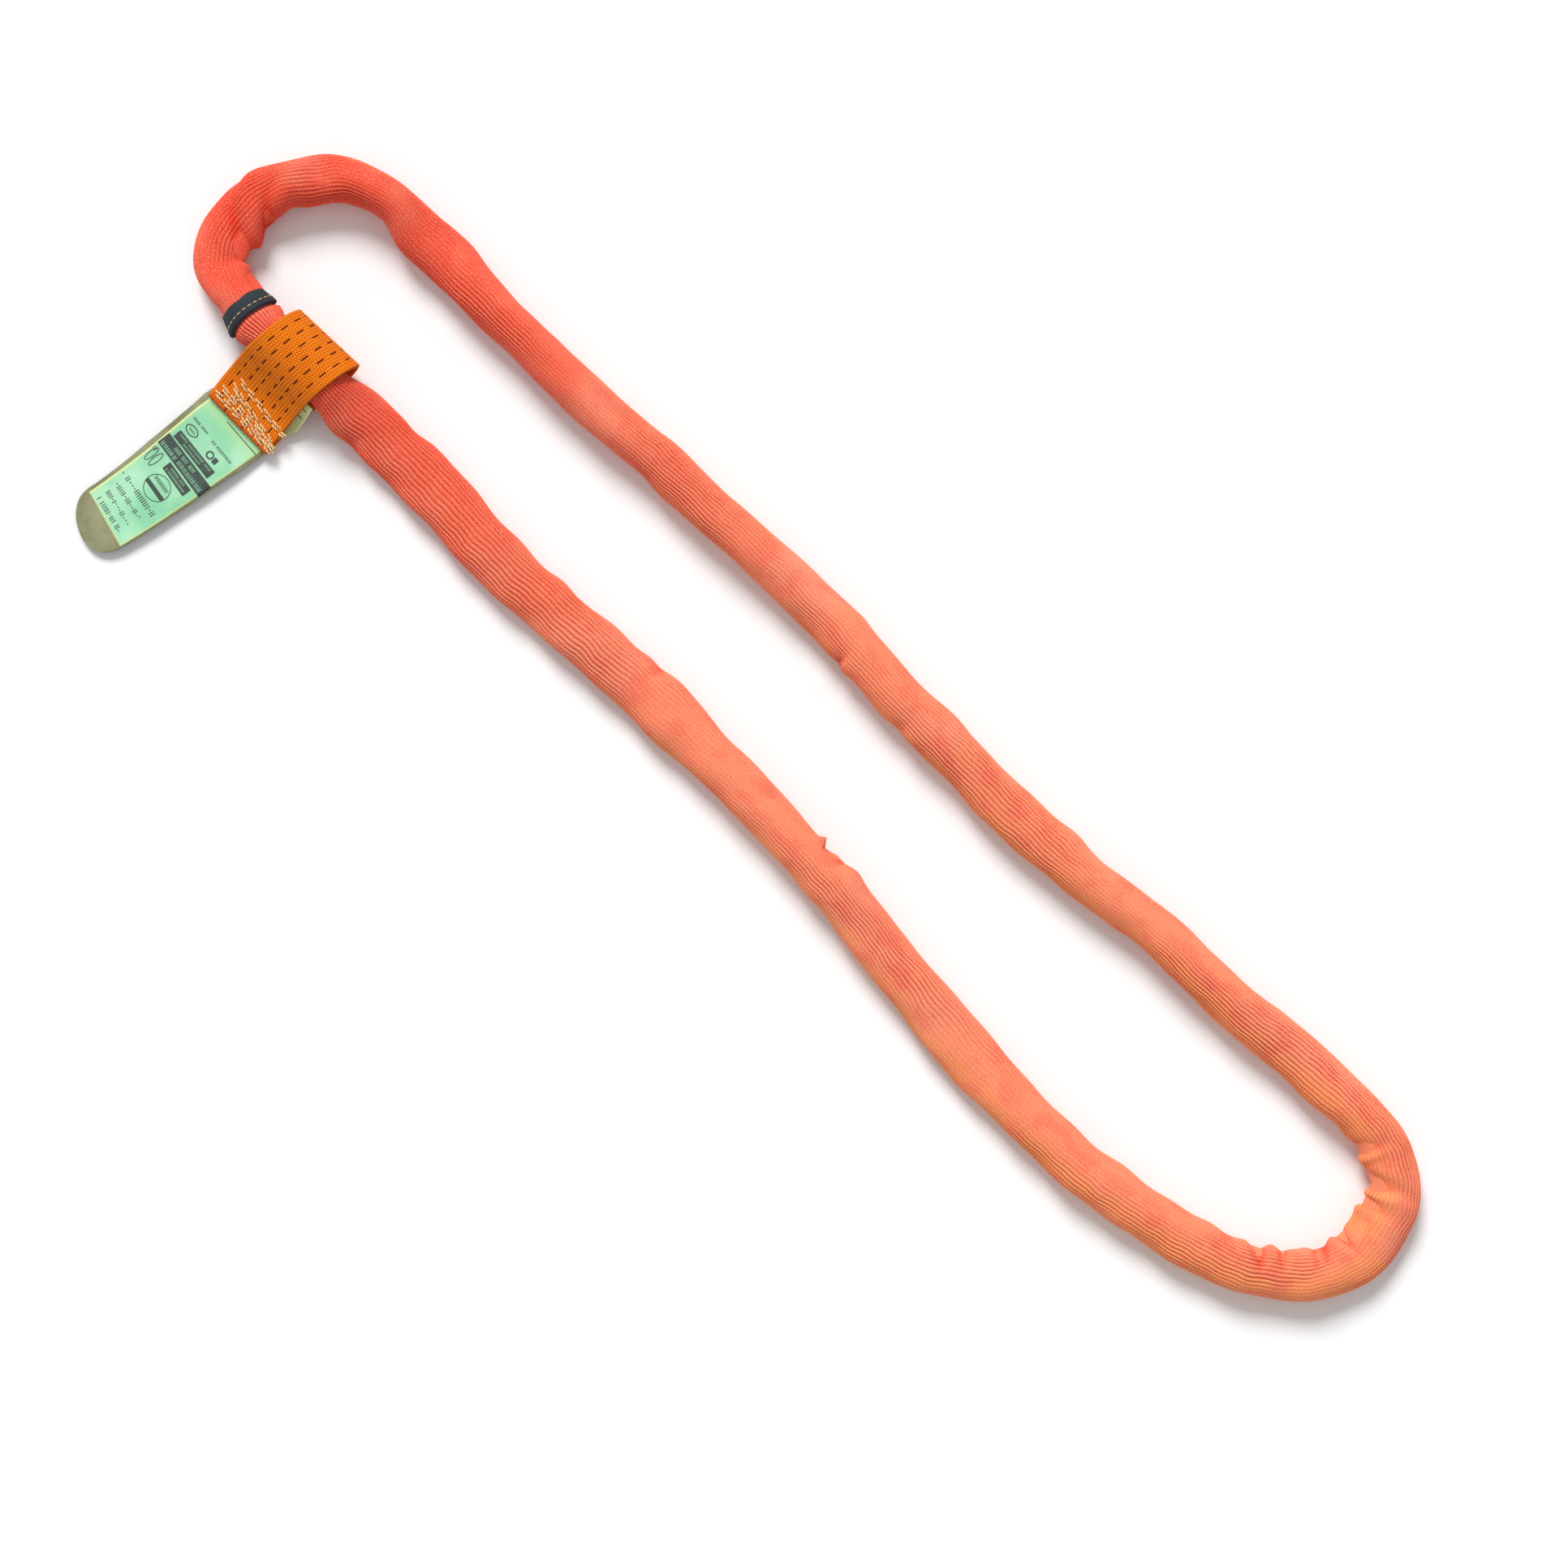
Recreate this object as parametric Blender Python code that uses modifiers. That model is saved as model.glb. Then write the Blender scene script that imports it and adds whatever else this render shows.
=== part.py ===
"""Endless round sling with a ribbed knit jacket, a yarn core and a sewn-on label.

The sling lies flat on a table as a long loop. +X runs along the loop, +Z is up, and
z = 0 is the table. The origin is the middle of the whole object's footprint.
Lengths in the tables are millimetres; MM turns them into Blender's metres.
"""

import math

import bpy
from mathutils import Vector

MM = 0.001

# ---- driving dimensions, mm -------------------------------------------------
GIRTH_SUM = 57.0          # width plus height of the jacket wherever it lies flat
WALL = 1.5                # jacket wall
JACKET_SIDES = 16         # a multiple of 4, so a facet faces down and one each way sideways
HANK_DIAMETER = 5.8
HANK_PITCH = 6.2          # centre to centre, in a hexagonal bundle
GAP = 0.3                 # between pieces that touch

SWIVEL_Y = 23.5           # the straight stretch of the sling under the label strap
SWIVEL_Z = 17.7
NECK_DIAMETER = 29.4      # jacket under the strap

WEBBING = 2.4             # strap thickness
STRAP_WIDTH = 51.0
TAB_SKEW = math.radians(2.9)      # the strap's cut end leans this much
TAB_END_Y = -54.8         # the cut end, from the swivel axis
TAB_X = -386.6
FOOTPRINT_SHIFT = (1.34, 0.87)    # brings the middle of the footprint to the origin

THREAD_DIAMETER = 1.0
BINDING_WIDTH = 13.0
BINDING_THICKNESS = 0.8
BINDING_FOLD = 6.0        # how far the binding goes back inside the mouth
BINDING_CLEARANCE = 0.6   # between the binding and each side of the sleeve

LABEL_LENGTH = 116.0
LABEL_CAP = 19.5          # length of the label's round end
FLAP_GAP = 3.0            # from the strap's cut end to the flap's hinge line
ROOT_GAP = 0.5            # from the hinge line to the label's sheets
BACK_FILM, CARD, FRONT_FILM = 0.6, 0.4, 0.4


def flat(x, y, width):
    """A section that lies on the table: (x, y, z of centre, width, height)."""
    height = GIRTH_SUM - width
    return (x, y, height / 2, width, height)


def neck(x, diameter=NECK_DIAMETER):
    """A round section on the swivel axis."""
    return (x, SWIVEL_Y, SWIVEL_Z, diameter, diameter)


# The jacket starts at its open mouth, beside the label, and goes round the loop clockwise.
MOUTH_SECTIONS = [
    (-422.5, 23.5, 17.0, 34.4, 28.0),
    (-436.0, 26.2, 16.0, 27.8, 27.0),
    (-449.0, 29.2, 14.0, 30.5, 26.5),
]
LOOP_SECTIONS = [
    flat(-459.5, 34.0, 34.0),
    flat(-467.5, 45.5, 34.0),
    flat(-470.5, 62.0, 34.0),
    flat(-469.5, 82.0, 31.5),
    flat(-463.0, 98.5, 30.0),
    flat(-451.0, 113.5, 31.0),
    flat(-435.0, 127.0, 27.0),
    flat(-412.0, 134.0, 25.2),
    flat(-374.0, 131.5, 32.0),
    flat(-329.0, 129.5, 29.0),
    flat(-264.0, 127.5, 27.5),
    flat(-194.0, 128.5, 28.5),
    flat(-119.0, 130.0, 28.0),
    flat(-44.0, 130.0, 31.0),
    flat(31.0, 124.0, 29.5),
    flat(106.0, 120.5, 31.0),
    flat(176.0, 120.5, 30.0),
    flat(246.0, 126.5, 28.5),
    flat(316.0, 126.5, 30.0),
    flat(371.0, 130.0, 31.5),
    flat(413.0, 129.5, 28.5),
    flat(441.8, 122.3, 31.5),
    flat(460.8, 106.2, 34.0),
    flat(467.3, 84.5, 35.4),
    flat(468.0, 63.0, 34.0),
    flat(460.5, 43.0, 31.5),
    flat(445.5, 26.5, 32.5),
    flat(423.0, 12.0, 31.5),
    flat(386.0, 0.5, 32.0),
    flat(331.0, -9.5, 31.5),
    flat(271.0, -11.5, 31.5),
    flat(206.0, -7.0, 35.0),
    flat(141.0, 1.5, 33.0),
    flat(76.0, 11.0, 30.0),
    flat(1.0, 17.0, 30.5),
    flat(-74.0, 19.5, 34.0),
    flat(-149.0, 18.5, 34.5),
    flat(-214.0, 18.5, 35.0),
    flat(-269.0, 22.5, 36.0),
    flat(-314.0, 24.0, 35.5),
    (-343.0, 23.5, 14.5, 35.0, 26.0),
    neck(-353.0),
    neck(-384.0),
    neck(-411.0),
    (-413.6, 23.5, 17.2, 33.5, 28.0),
    (-417.0, 23.5, 17.0, 27.6, 22.0),
]
# The other end of the sleeve is tucked inside the mouth.
TUCKED_SECTIONS = [
    (-422.5, 23.7, 17.0, 26.8, 21.4),
    (-436.0, 26.2, 16.0, 22.6, 21.0),
    (-449.0, 29.2, 14.0, 25.0, 21.5),
]

# Sewn rows on the tab: (x, y) of the left end and of the right end, y from the swivel axis.
SEWN_ROWS = [
    ((-404.0, -35.5), (-364.0, -40.0)),
    ((-406.0, -40.0), (-364.0, -46.0)),
    ((-409.0, -44.5), (-364.0, -50.0)),
    ((-409.5, -49.5), (-364.0, -53.0)),
]


def material(name, colour, roughness, alpha=1.0):
    made = bpy.data.materials.new(name)
    made.use_nodes = True
    shader = made.node_tree.nodes["Principled BSDF"]
    shader.inputs["Base Color"].default_value = (*colour, 1.0)
    shader.inputs["Roughness"].default_value = roughness
    shader.inputs["Alpha"].default_value = alpha
    return made


def add(name, data, finish, parent, collection):
    """An object of this data, with its material, in the collection, under the parent."""
    made = bpy.data.objects.new(name, data)
    data.materials.append(finish)
    made.parent = parent
    collection.objects.link(made)
    return made


def solidify(made, thickness, offset):
    modifier = made.modifiers.new("wall", "SOLIDIFY")
    modifier.thickness = thickness * MM
    modifier.offset = offset
    modifier.use_even_offset = True


def sheet_mesh(name, rows, wrap=False, joined=False):
    """A mesh of quads through rows of points, mm.

    With wrap, each row is a closed ring; with joined, the last row meets the first.
    """
    points = [Vector(p) * MM for row in rows for p in row]
    count = len(rows[0])
    faces = []
    for i in range(len(rows) if joined else len(rows) - 1):
        here, after = i * count, (i + 1) % len(rows) * count
        for j in range(count if wrap else count - 1):
            k = (j + 1) % count
            faces.append((here + j, here + k, after + k, after + j))
    mesh = bpy.data.meshes.new(name)
    mesh.from_pydata(points, [], faces)
    mesh.update()
    return mesh


def wire(name, points, diameter, closed=False, resolution=1):
    """A curve through points, mm, with a round section; resolution 1 gives it six sides."""
    curve = bpy.data.curves.new(name, "CURVE")
    curve.dimensions = "3D"
    curve.bevel_depth = diameter / 2 * MM
    curve.bevel_resolution = resolution
    curve.use_fill_caps = not closed
    spline = curve.splines.new("POLY")
    spline.points.add(len(points) - 1)
    for slot, point in zip(spline.points, points):
        slot.co = (*(Vector(point) * MM), 1.0)
    spline.use_cyclic_u = closed
    return curve


def headings(sections):
    """At each section, the unit vector to the left of the route, in the table's plane."""
    centres = [Vector(s[:2]) for s in sections]
    last = len(centres) - 1
    lefts = []
    for i in range(len(centres)):
        ahead = (centres[min(i + 1, last)] - centres[max(i - 1, 0)]).normalized()
        lefts.append(Vector((-ahead.y, ahead.x, 0)))
    return lefts


def ring(section, left, grow=0.0):
    """The oval of a section, as a polygon whose flat sides touch its width and height."""
    x, y, z, width, height = section
    half_step = math.pi / JACKET_SIDES
    reach = 1 / math.cos(half_step)
    points = []
    for k in range(JACKET_SIDES):
        angle = half_step * (2 * k + 1)
        across = (width / 2 + grow) * reach * math.cos(angle)
        up = (height / 2 + grow) * reach * math.sin(angle)
        points.append(Vector((x, y, z)) + left * across + Vector((0, 0, up)))
    return points


def jacket_sections():
    return MOUTH_SECTIONS + LOOP_SECTIONS + TUCKED_SECTIONS


def make_jacket(finish, parent, collection):
    """The knit sleeve: one tube that goes round the loop and ends inside its own mouth."""
    sections = jacket_sections()
    lefts = headings(sections)
    rows = [ring(s, left) for s, left in zip(sections, lefts)]
    sleeve = add("jacket", sheet_mesh("jacket", rows, wrap=True), finish, parent, collection)
    solidify(sleeve, WALL, -1)


def hank_offsets():
    """Seven places in a hexagon: (across, up) of each, with one in the middle."""
    around = [math.radians(60 * k) for k in range(6)]
    outer = [(HANK_PITCH * math.cos(a), HANK_PITCH * math.sin(a)) for a in around]
    return [(0.0, 0.0)] + outer


def make_core(finish, tape_finish, parent, collection):
    """Seven endless hanks of yarn, parallel inside the jacket, and the tape on their ends."""
    sections = MOUTH_SECTIONS + LOOP_SECTIONS
    lefts = headings(sections)
    for number, (across, up) in enumerate(hank_offsets(), start=1):
        points = [
            Vector(s[:3]) + left * across + Vector((0, 0, up)) for s, left in zip(sections, lefts)
        ]
        name = f"core_hank_{number}"
        add(name, wire(name, points, HANK_DIAMETER, closed=True), finish, parent, collection)
    length, thickness = 30.0, 0.6
    across = 2 * HANK_PITCH + HANK_DIAMETER + 2 * GAP
    tape = [
        (x, SWIVEL_Y, SWIVEL_Z, across, across) for x in (-384.0 + length / 2, -384.0 - length / 2)
    ]
    rows = [ring(s, Vector((0, -1, 0))) for s in tape]
    wrap = add("core_tape", sheet_mesh("core_tape", rows, wrap=True), tape_finish, parent, collection)
    solidify(wrap, thickness, 1)


def make_binding(tape_finish, thread_finish, parent, collection):
    """The black tape folded over the sleeve's mouth, and the thread sewn round it."""
    mouth, back = MOUTH_SECTIONS[:2]
    lefts = headings(MOUTH_SECTIONS)
    span = mouth[0] - back[0]

    def station(depth, grow):
        share = max(0.0, depth) / span
        section = [a + (b - a) * share for a, b in zip(mouth, back)]
        section[0] -= min(0.0, depth)
        return ring(section, lefts[0].lerp(lefts[1], share), grow)

    outside, inside = BINDING_CLEARANCE + BINDING_THICKNESS, -WALL - BINDING_CLEARANCE
    rows = [
        station(BINDING_WIDTH, outside),
        station(BINDING_WIDTH / 2, outside),
        station(-BINDING_CLEARANCE - BINDING_THICKNESS, outside),
        station(-BINDING_CLEARANCE - BINDING_THICKNESS, inside - BINDING_THICKNESS),
        station(BINDING_FOLD, inside - BINDING_THICKNESS),
        station(BINDING_FOLD, inside),
        station(-BINDING_CLEARANCE, inside),
        station(-BINDING_CLEARANCE, BINDING_CLEARANCE),
        station(BINDING_WIDTH / 2, BINDING_CLEARANCE),
        station(BINDING_WIDTH, BINDING_CLEARANCE),
    ]
    mesh = sheet_mesh("binding_tape", rows[::-1], wrap=True, joined=True)
    add("binding_tape", mesh, tape_finish, parent, collection)
    stitch_line = station(2.5, outside + GAP + THREAD_DIAMETER / 2)
    thread = wire("binding_thread", stitch_line, THREAD_DIAMETER, closed=True)
    add("binding_thread", thread, thread_finish, parent, collection)


def strap_path():
    """The strap's inner face, from the lower cut end round the sling to the upper one.

    Each point is (x of the strap's middle, y, z, skew), with y and z from the swivel axis.
    The round part is an oval about (2.6, 0.4), and the rest is straight.
    """
    path = [(TAB_X, TAB_END_Y, -13.9, TAB_SKEW), (TAB_X, -32.0, -13.9, 0.0), (-385.0, -20.0, -15.3, 0.0)]
    middle, across, up = (2.6, 0.45), 18.7, 15.75
    for step in range(12):
        share = step / 11
        angle = math.radians(-90 + 232 * share)
        x = -382.0 + 2.5 * math.sin(math.pi * share)
        path.append((x, middle[0] + across * math.cos(angle), middle[1] + up * math.sin(angle), 0.0))
    path += [(-387.5, -21.5, -0.5, 0.0), (-388.0, -33.0, -9.7, 0.0), (TAB_X, TAB_END_Y, -12.6, TAB_SKEW)]
    return path


def ribbon(path, width):
    """Rows of two points across the strap at each point of its path."""
    rows = []
    for x, y, z, skew in path:
        half = width / 2
        lean = half * math.tan(skew)
        rows.append([Vector((x - half, y + lean, z)), Vector((x + half, y - lean, z))])
    return rows


def make_strap(finish, thread_finish, parent, collection):
    """The webbing loop round the sling, sewn to itself with four rows of lockstitch."""
    mesh = sheet_mesh("label_strap", ribbon(strap_path(), STRAP_WIDTH))
    solidify(add("label_strap", mesh, finish, parent, collection), WEBBING, -1)
    clear = WEBBING + 1.5 * GAP + THREAD_DIAMETER / 2
    inner, outer = (-33.0, -9.7), (TAB_END_Y, -12.6)
    slope = (outer[1] - inner[1]) / (outer[0] - inner[0])
    for number, (start, end) in enumerate(SEWN_ROWS, start=1):
        needle, bobbin = [], []
        stitches = 6
        for k in range(stitches + 1):
            x = start[0] + (end[0] - start[0]) * k / stitches
            y = start[1] + (end[1] - start[1]) * k / stitches
            top = inner[1] + (y - inner[0]) * slope
            needle.append((x, y, top + clear))
            bobbin.append((x, y, -13.9 - clear))
        for name, points in ((f"needle_thread_{number}", needle), (f"bobbin_thread_{number}", bobbin)):
            add(name, wire(name, points, THREAD_DIAMETER), thread_finish, parent, collection)


def make_trace_tag(finish, parent, collection):
    """The label's free leaf, between the strap's two layers, showing at the right side."""
    profile = [(-53.5, -13.2), (-40.0, -12.6), (-33.0, -11.6), (-21.0, -1.8), (-17.4, 2.2)]
    path = [(-380.8, y, z, 0.0) for y, z in profile]
    mesh = sheet_mesh("trace_tag", ribbon(path, 48.5))
    solidify(add("trace_tag", mesh, finish, parent, collection), 0.5, 0)


def label_middle(v):
    """How far the label's middle line has drifted sideways, v mm from the hinge."""
    return 0.052 * v + 0.00084 * v * v


def label_half_width(v):
    """Half the pouch's width, v mm from the hinge: it narrows, then ends in a round cap."""
    stops = [(0, 26.5), (14, 24.3), (50, 23.8), (75, 22.3), (LABEL_LENGTH - LABEL_CAP, 20.8)]
    for (v0, w0), (v1, w1) in zip(stops, stops[1:]):
        if v <= v1:
            return w0 + (w1 - w0) * (v - v0) / (v1 - v0)
    into_cap = min(1.0, (v - stops[-1][0]) / LABEL_CAP)
    return stops[-1][1] * (1 - into_cap**2.6) ** (1 / 2.6)


def label_outline(start, end, inset, steps):
    """Points round a sheet of the label, from start to end along it."""
    left, right = [], []
    for k in range(steps + 1):
        v = start + (end - start) * math.sin(math.pi / 2 * k / steps)
        half = max(0.0, label_half_width(v) - inset)
        left.append((-label_middle(v) - half, -v))
        right.append((-label_middle(v) + half, -v))
    if left[-1] == right[-1]:
        right.pop()
    return left + right[::-1]


def plate(name, outline, thickness, bottom, finish, parent, collection):
    """A flat sheet with this outline, from bottom to bottom + thickness."""
    curve = bpy.data.curves.new(name, "CURVE")
    curve.dimensions = "2D"
    curve.fill_mode = "BOTH"
    curve.extrude = thickness / 2 * MM
    spline = curve.splines.new("POLY")
    spline.points.add(len(outline) - 1)
    for slot, (x, y) in zip(spline.points, outline):
        slot.co = (x * MM, y * MM, 0, 1)
    spline.use_cyclic_u = True
    made = add(name, curve, finish, parent, collection)
    made.location.z = (bottom + thickness / 2) * MM


def make_label(finishes, parent, collection):
    """A printed card between a tan back film and a clear front film, hinged at the strap."""
    back, card, front = finishes
    stack = BACK_FILM + CARD + FRONT_FILM + 2 * GAP
    bottom = -stack / 2
    pouch = label_outline(ROOT_GAP, LABEL_LENGTH, 0.0, 18)
    insert = label_outline(ROOT_GAP + 0.5, 101.0, 1.6, 10)
    plate("pouch_back_film", pouch, BACK_FILM, bottom, back, parent, collection)
    plate("label_card", insert, CARD, bottom + BACK_FILM + GAP, card, parent, collection)
    top = bottom + BACK_FILM + CARD + 2 * GAP
    plate("pouch_front_film", pouch, FRONT_FILM, top, front, parent, collection)
    return stack


def empty(name, location, parent, collection):
    made = bpy.data.objects.new(name, None)
    made.location = Vector(location) * MM
    made.parent = parent
    collection.objects.link(made)
    return made


def main():
    for old in list(bpy.data.objects):
        bpy.data.objects.remove(old, do_unlink=True)
    collection = bpy.data.collections.new("round_sling")
    bpy.context.scene.collection.children.link(collection)

    knit = material("knit_orange", (0.86, 0.19, 0.08), 0.85)
    yarn = material("core_yarn", (0.86, 0.85, 0.80), 0.6)
    masking = material("core_tape", (0.82, 0.74, 0.52), 0.5)
    black = material("binding_black", (0.035, 0.04, 0.05), 0.8)
    cream = material("thread_cream", (0.86, 0.70, 0.42), 0.7)
    webbing = material("webbing_orange", (0.83, 0.26, 0.02), 0.75)
    paper = material("tag_cream", (0.82, 0.82, 0.55), 0.6)
    tan = material("film_tan", (0.42, 0.38, 0.24), 0.4)
    green = material("card_green", (0.42, 0.86, 0.58), 0.55)
    clear = material("film_clear", (0.9, 0.95, 0.85), 0.15, 0.35)

    origin = empty("round_sling_origin", (*FOOTPRINT_SHIFT, 0), None, collection)
    make_jacket(knit, origin, collection)
    make_core(yarn, masking, origin, collection)
    make_binding(black, cream, origin, collection)

    swivel = empty("strap_swivel_axis", (0, SWIVEL_Y, SWIVEL_Z), origin, collection)
    make_strap(webbing, cream, swivel, collection)
    make_trace_tag(paper, swivel, collection)

    hinge = empty("flap_hinge_axis", (TAB_X, TAB_END_Y - FLAP_GAP, -13.3), swivel, collection)
    stack = make_label((tan, green, clear), hinge, collection)
    drop = SWIVEL_Z - 13.3 - stack / 2
    hinge.rotation_euler = (math.asin(drop / LABEL_LENGTH), 0, -TAB_SKEW)


main()
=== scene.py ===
"""The looks of an endless round sling: knit sleeve, black binding, webbing strap and label.

Every shape is worked out in millimetres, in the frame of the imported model, and becomes metres
when it is put into a mesh. The sleeve's route repeats the model's, apart from its two ends.
"""

import math
from functools import partialmethod

import bpy
import numpy as np
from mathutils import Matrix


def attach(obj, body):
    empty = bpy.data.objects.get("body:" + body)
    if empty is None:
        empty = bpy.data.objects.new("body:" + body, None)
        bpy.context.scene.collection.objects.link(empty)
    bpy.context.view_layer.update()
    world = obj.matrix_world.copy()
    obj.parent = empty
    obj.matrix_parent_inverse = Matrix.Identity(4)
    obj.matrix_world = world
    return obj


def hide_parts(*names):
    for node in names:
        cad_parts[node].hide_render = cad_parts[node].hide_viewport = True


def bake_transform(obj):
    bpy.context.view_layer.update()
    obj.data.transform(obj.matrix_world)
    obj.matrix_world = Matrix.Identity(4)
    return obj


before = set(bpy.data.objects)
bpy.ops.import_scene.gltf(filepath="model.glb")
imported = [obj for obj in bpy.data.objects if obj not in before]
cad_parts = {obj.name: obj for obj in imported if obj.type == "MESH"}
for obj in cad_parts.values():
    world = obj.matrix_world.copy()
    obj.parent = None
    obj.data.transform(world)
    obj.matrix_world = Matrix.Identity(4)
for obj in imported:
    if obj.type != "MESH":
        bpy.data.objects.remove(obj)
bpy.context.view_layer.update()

MM = 0.001
TURN = 2 * math.pi
draw = np.random.default_rng(7)


# ---- meshes ----


def placed(name, data):
    """An object of this data, in the scene."""
    made = bpy.data.objects.new(name, data)
    bpy.context.scene.collection.objects.link(made)
    return made


def put(name, vertices, faces, corners=None, smooth=True, fields=None):
    """An object of these vertices (mm) and faces, with a UV pair for every face corner."""
    mesh = bpy.data.meshes.new(name)
    mesh.from_pydata((np.asarray(vertices) * MM).tolist(), [], faces)
    if corners is not None:
        layer = mesh.uv_layers.new(name="UVMap")
        layer.data.foreach_set("uv", np.asarray(corners, np.float32).ravel())
    for key, values in (fields or {}).items():
        mesh.attributes.new(key, "FLOAT", "POINT").data.foreach_set(
            "value", np.asarray(values, np.float32).ravel()
        )
    mesh.polygons.foreach_set("use_smooth", np.full(len(mesh.polygons), smooth))
    mesh.update()
    return placed(name, mesh)


def quads(rows, columns, ring=False, loop=False, flip=False):
    """Vertex and UV-corner numbers of the faces of a grid; ring closes rows, loop joins ends."""
    i, j = np.meshgrid(
        np.arange(rows if loop else rows - 1),
        np.arange(columns if ring else columns - 1),
        indexing="ij",
    )
    i, j = i.ravel(), j.ravel()
    steps = [(0, 0), (0, 1), (1, 1), (1, 0)]
    faces = [(i + a) % rows * columns + (j + b) % columns for a, b in steps]
    wide = columns + 1 if ring else columns
    corners = [(i + a) * wide + j + b for a, b in steps]
    turn = -1 if flip else 1
    return np.stack(faces, 1)[:, ::turn], np.stack(corners, 1)[:, ::turn]


def spread(across, along):
    """A pair of numbers for every place of a grid."""
    return np.stack(np.broadcast_arrays(across, along), -1)


def shell(points, uv=None, ring=False, loop=False, caps=False, flip=False):
    """Vertices, faces and UV pairs over a grid of points; caps close the two ends of a ring.

    uv holds a pair for each corner: on a ring it has one column more than the points.
    """
    points = np.asarray(points, float)
    rows, columns = points.shape[:2]
    faces, corners = quads(rows, columns, ring, loop, flip)
    faces = faces.tolist()
    pairs = None if uv is None else uv.reshape(-1, 2)[corners].reshape(-1, 2)
    if caps:
        order = np.arange(columns)
        first, last = (order, order[::-1]) if flip else (order[::-1], order)
        faces += [first.tolist(), (last + (rows - 1) * columns).tolist()]
        if pairs is not None:
            pairs = np.concatenate([pairs, uv[0, first], uv[-1, last]])
    return points.reshape(-1, 3), faces, pairs


def surface(name, points, uv, fields=None, **shape):
    """An object over a grid of points."""
    return put(name, *shell(points, uv, **shape), fields=fields)


def two_sided(name, top, bottom, across, along):
    """A closed thin sheet between two grids of points; its UVs run across and along it."""
    ring = np.concatenate([top, bottom[:, ::-1]], axis=1)
    wide = np.concatenate([across, across[:, ::-1], across[:, :1]], axis=1)
    return surface(name, ring, spread(wide, along[:, None]), ring=True, caps=True, flip=True)


def joined(name, blocks, smooth=True):
    """Many shells as one object."""
    vertices, faces, pairs, start = [], [], [], 0
    for block, block_faces, block_pairs in blocks:
        vertices.append(block)
        faces += [[v + start for v in face] for face in block_faces]
        pairs.append(block_pairs)
        start += len(block)
    corners = None if pairs[0] is None else np.concatenate(pairs)
    return put(name, np.concatenate(vertices), faces, corners, smooth)


# ---- curves ----


def lengths(line):
    """Distance along a line of points, from its first."""
    steps = np.linalg.norm(np.diff(line, axis=0), axis=1)
    return np.concatenate([[0.0], np.cumsum(steps)])


def smooth_through(stations, along, at):
    """A cubic through stations: at each one its slope is that of the parabola through three."""
    slope = np.gradient(stations, along, axis=0)
    k = np.clip(np.searchsorted(along, at, side="right") - 1, 0, len(along) - 2)
    width = (along[k + 1] - along[k])[:, None]
    t = (at - along[k])[:, None] / width
    return (
        (2 * t**3 - 3 * t**2 + 1) * stations[k]
        + (t**3 - 2 * t**2 + t) * width * slope[k]
        + (3 * t**2 - 2 * t**3) * stations[k + 1]
        + (t**3 - t**2) * width * slope[k + 1]
    )


def ease(x, low, high):
    """0 below low, 1 above high, and a smooth step between."""
    t = np.clip((x - low) / (high - low), 0, 1)
    return t * t * (3 - 2 * t)


def unit(vectors):
    return vectors / np.maximum(np.linalg.norm(vectors, axis=-1, keepdims=True), 1e-12)


def cross_frame(line):
    """Two unit vectors across a line at each point: one level, one completing the frame."""
    ahead = unit(np.gradient(line, axis=0))
    side = unit(np.cross(ahead, [0.0, 0.0, 1.0]))
    return side, np.cross(side, ahead)


def strand(line, radius, sides=8):
    """A round tube along a line, its radius easing to nothing at both ends like a rounded tip."""
    along = lengths(line)
    near = np.minimum(along, along[-1] - along) / radius
    swell = np.sqrt(np.clip(1 - (1 - np.clip(near, 0.02, 1)) ** 2, 0, 1))
    side, up = cross_frame(line)
    angle = np.arange(sides) / sides * TURN
    spoke = side[:, None] * np.cos(angle)[None, :, None] + up[:, None] * np.sin(angle)[None, :, None]
    points = line[:, None] + spoke * (radius * swell)[:, None, None]
    uv = spread(np.arange(sides + 1) / sides, along[:, None])
    return shell(points, uv, ring=True, caps=True)


def strands(name, lines, radius, sides=8):
    """Many tubes as one object, of one radius or each with its own."""
    radii = np.broadcast_to(radius, len(lines))
    return joined(name, [strand(line, thick, sides) for line, thick in zip(lines, radii)])


# ---- materials ----


def srgb(red, green, blue):
    """A colour given as 0 to 255 values on a screen, as linear light with full alpha."""
    share = np.array([red, green, blue]) / 255
    linear = np.where(share <= 0.04045, share / 12.92, ((share + 0.055) / 1.055) ** 2.4)
    return (*(float(x) for x in linear), 1.0)


class Value:
    """A number that changes over a surface: arithmetic on it adds Math nodes."""

    def __init__(self, finish, socket):
        self.finish, self.socket = finish, socket

    def maths(self, operation, *others, first=None):
        inputs = (self if first is None else first, *others)
        return self.finish.node("ShaderNodeMath", {"operation": operation}, inputs)

    def __rsub__(self, other):
        return self.maths("SUBTRACT", self, first=other)

    __add__ = __radd__ = partialmethod(maths, "ADD")
    __mul__ = __rmul__ = partialmethod(maths, "MULTIPLY")
    __sub__ = partialmethod(maths, "SUBTRACT")
    __truediv__ = partialmethod(maths, "DIVIDE")
    sin = partialmethod(maths, "SINE")
    fract = partialmethod(maths, "FRACT")
    floor = partialmethod(maths, "FLOOR")
    size = partialmethod(maths, "ABSOLUTE")
    most = partialmethod(maths, "MAXIMUM")
    least = partialmethod(maths, "MINIMUM")
    above = partialmethod(maths, "GREATER_THAN")

    def step(self, low, high):
        """0 below low, 1 above high, smooth between; low may be the larger."""
        settings = {"interpolation_type": "SMOOTHSTEP"}
        return self.finish.node("ShaderNodeMapRange", settings, (self, low, high, 0.0, 1.0))

    def off(self, centre):
        """Distance to the nearest whole number plus centre, from 0 to a half."""
        return ((self + (0.5 - centre)).fract() - 0.5).size()


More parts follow.
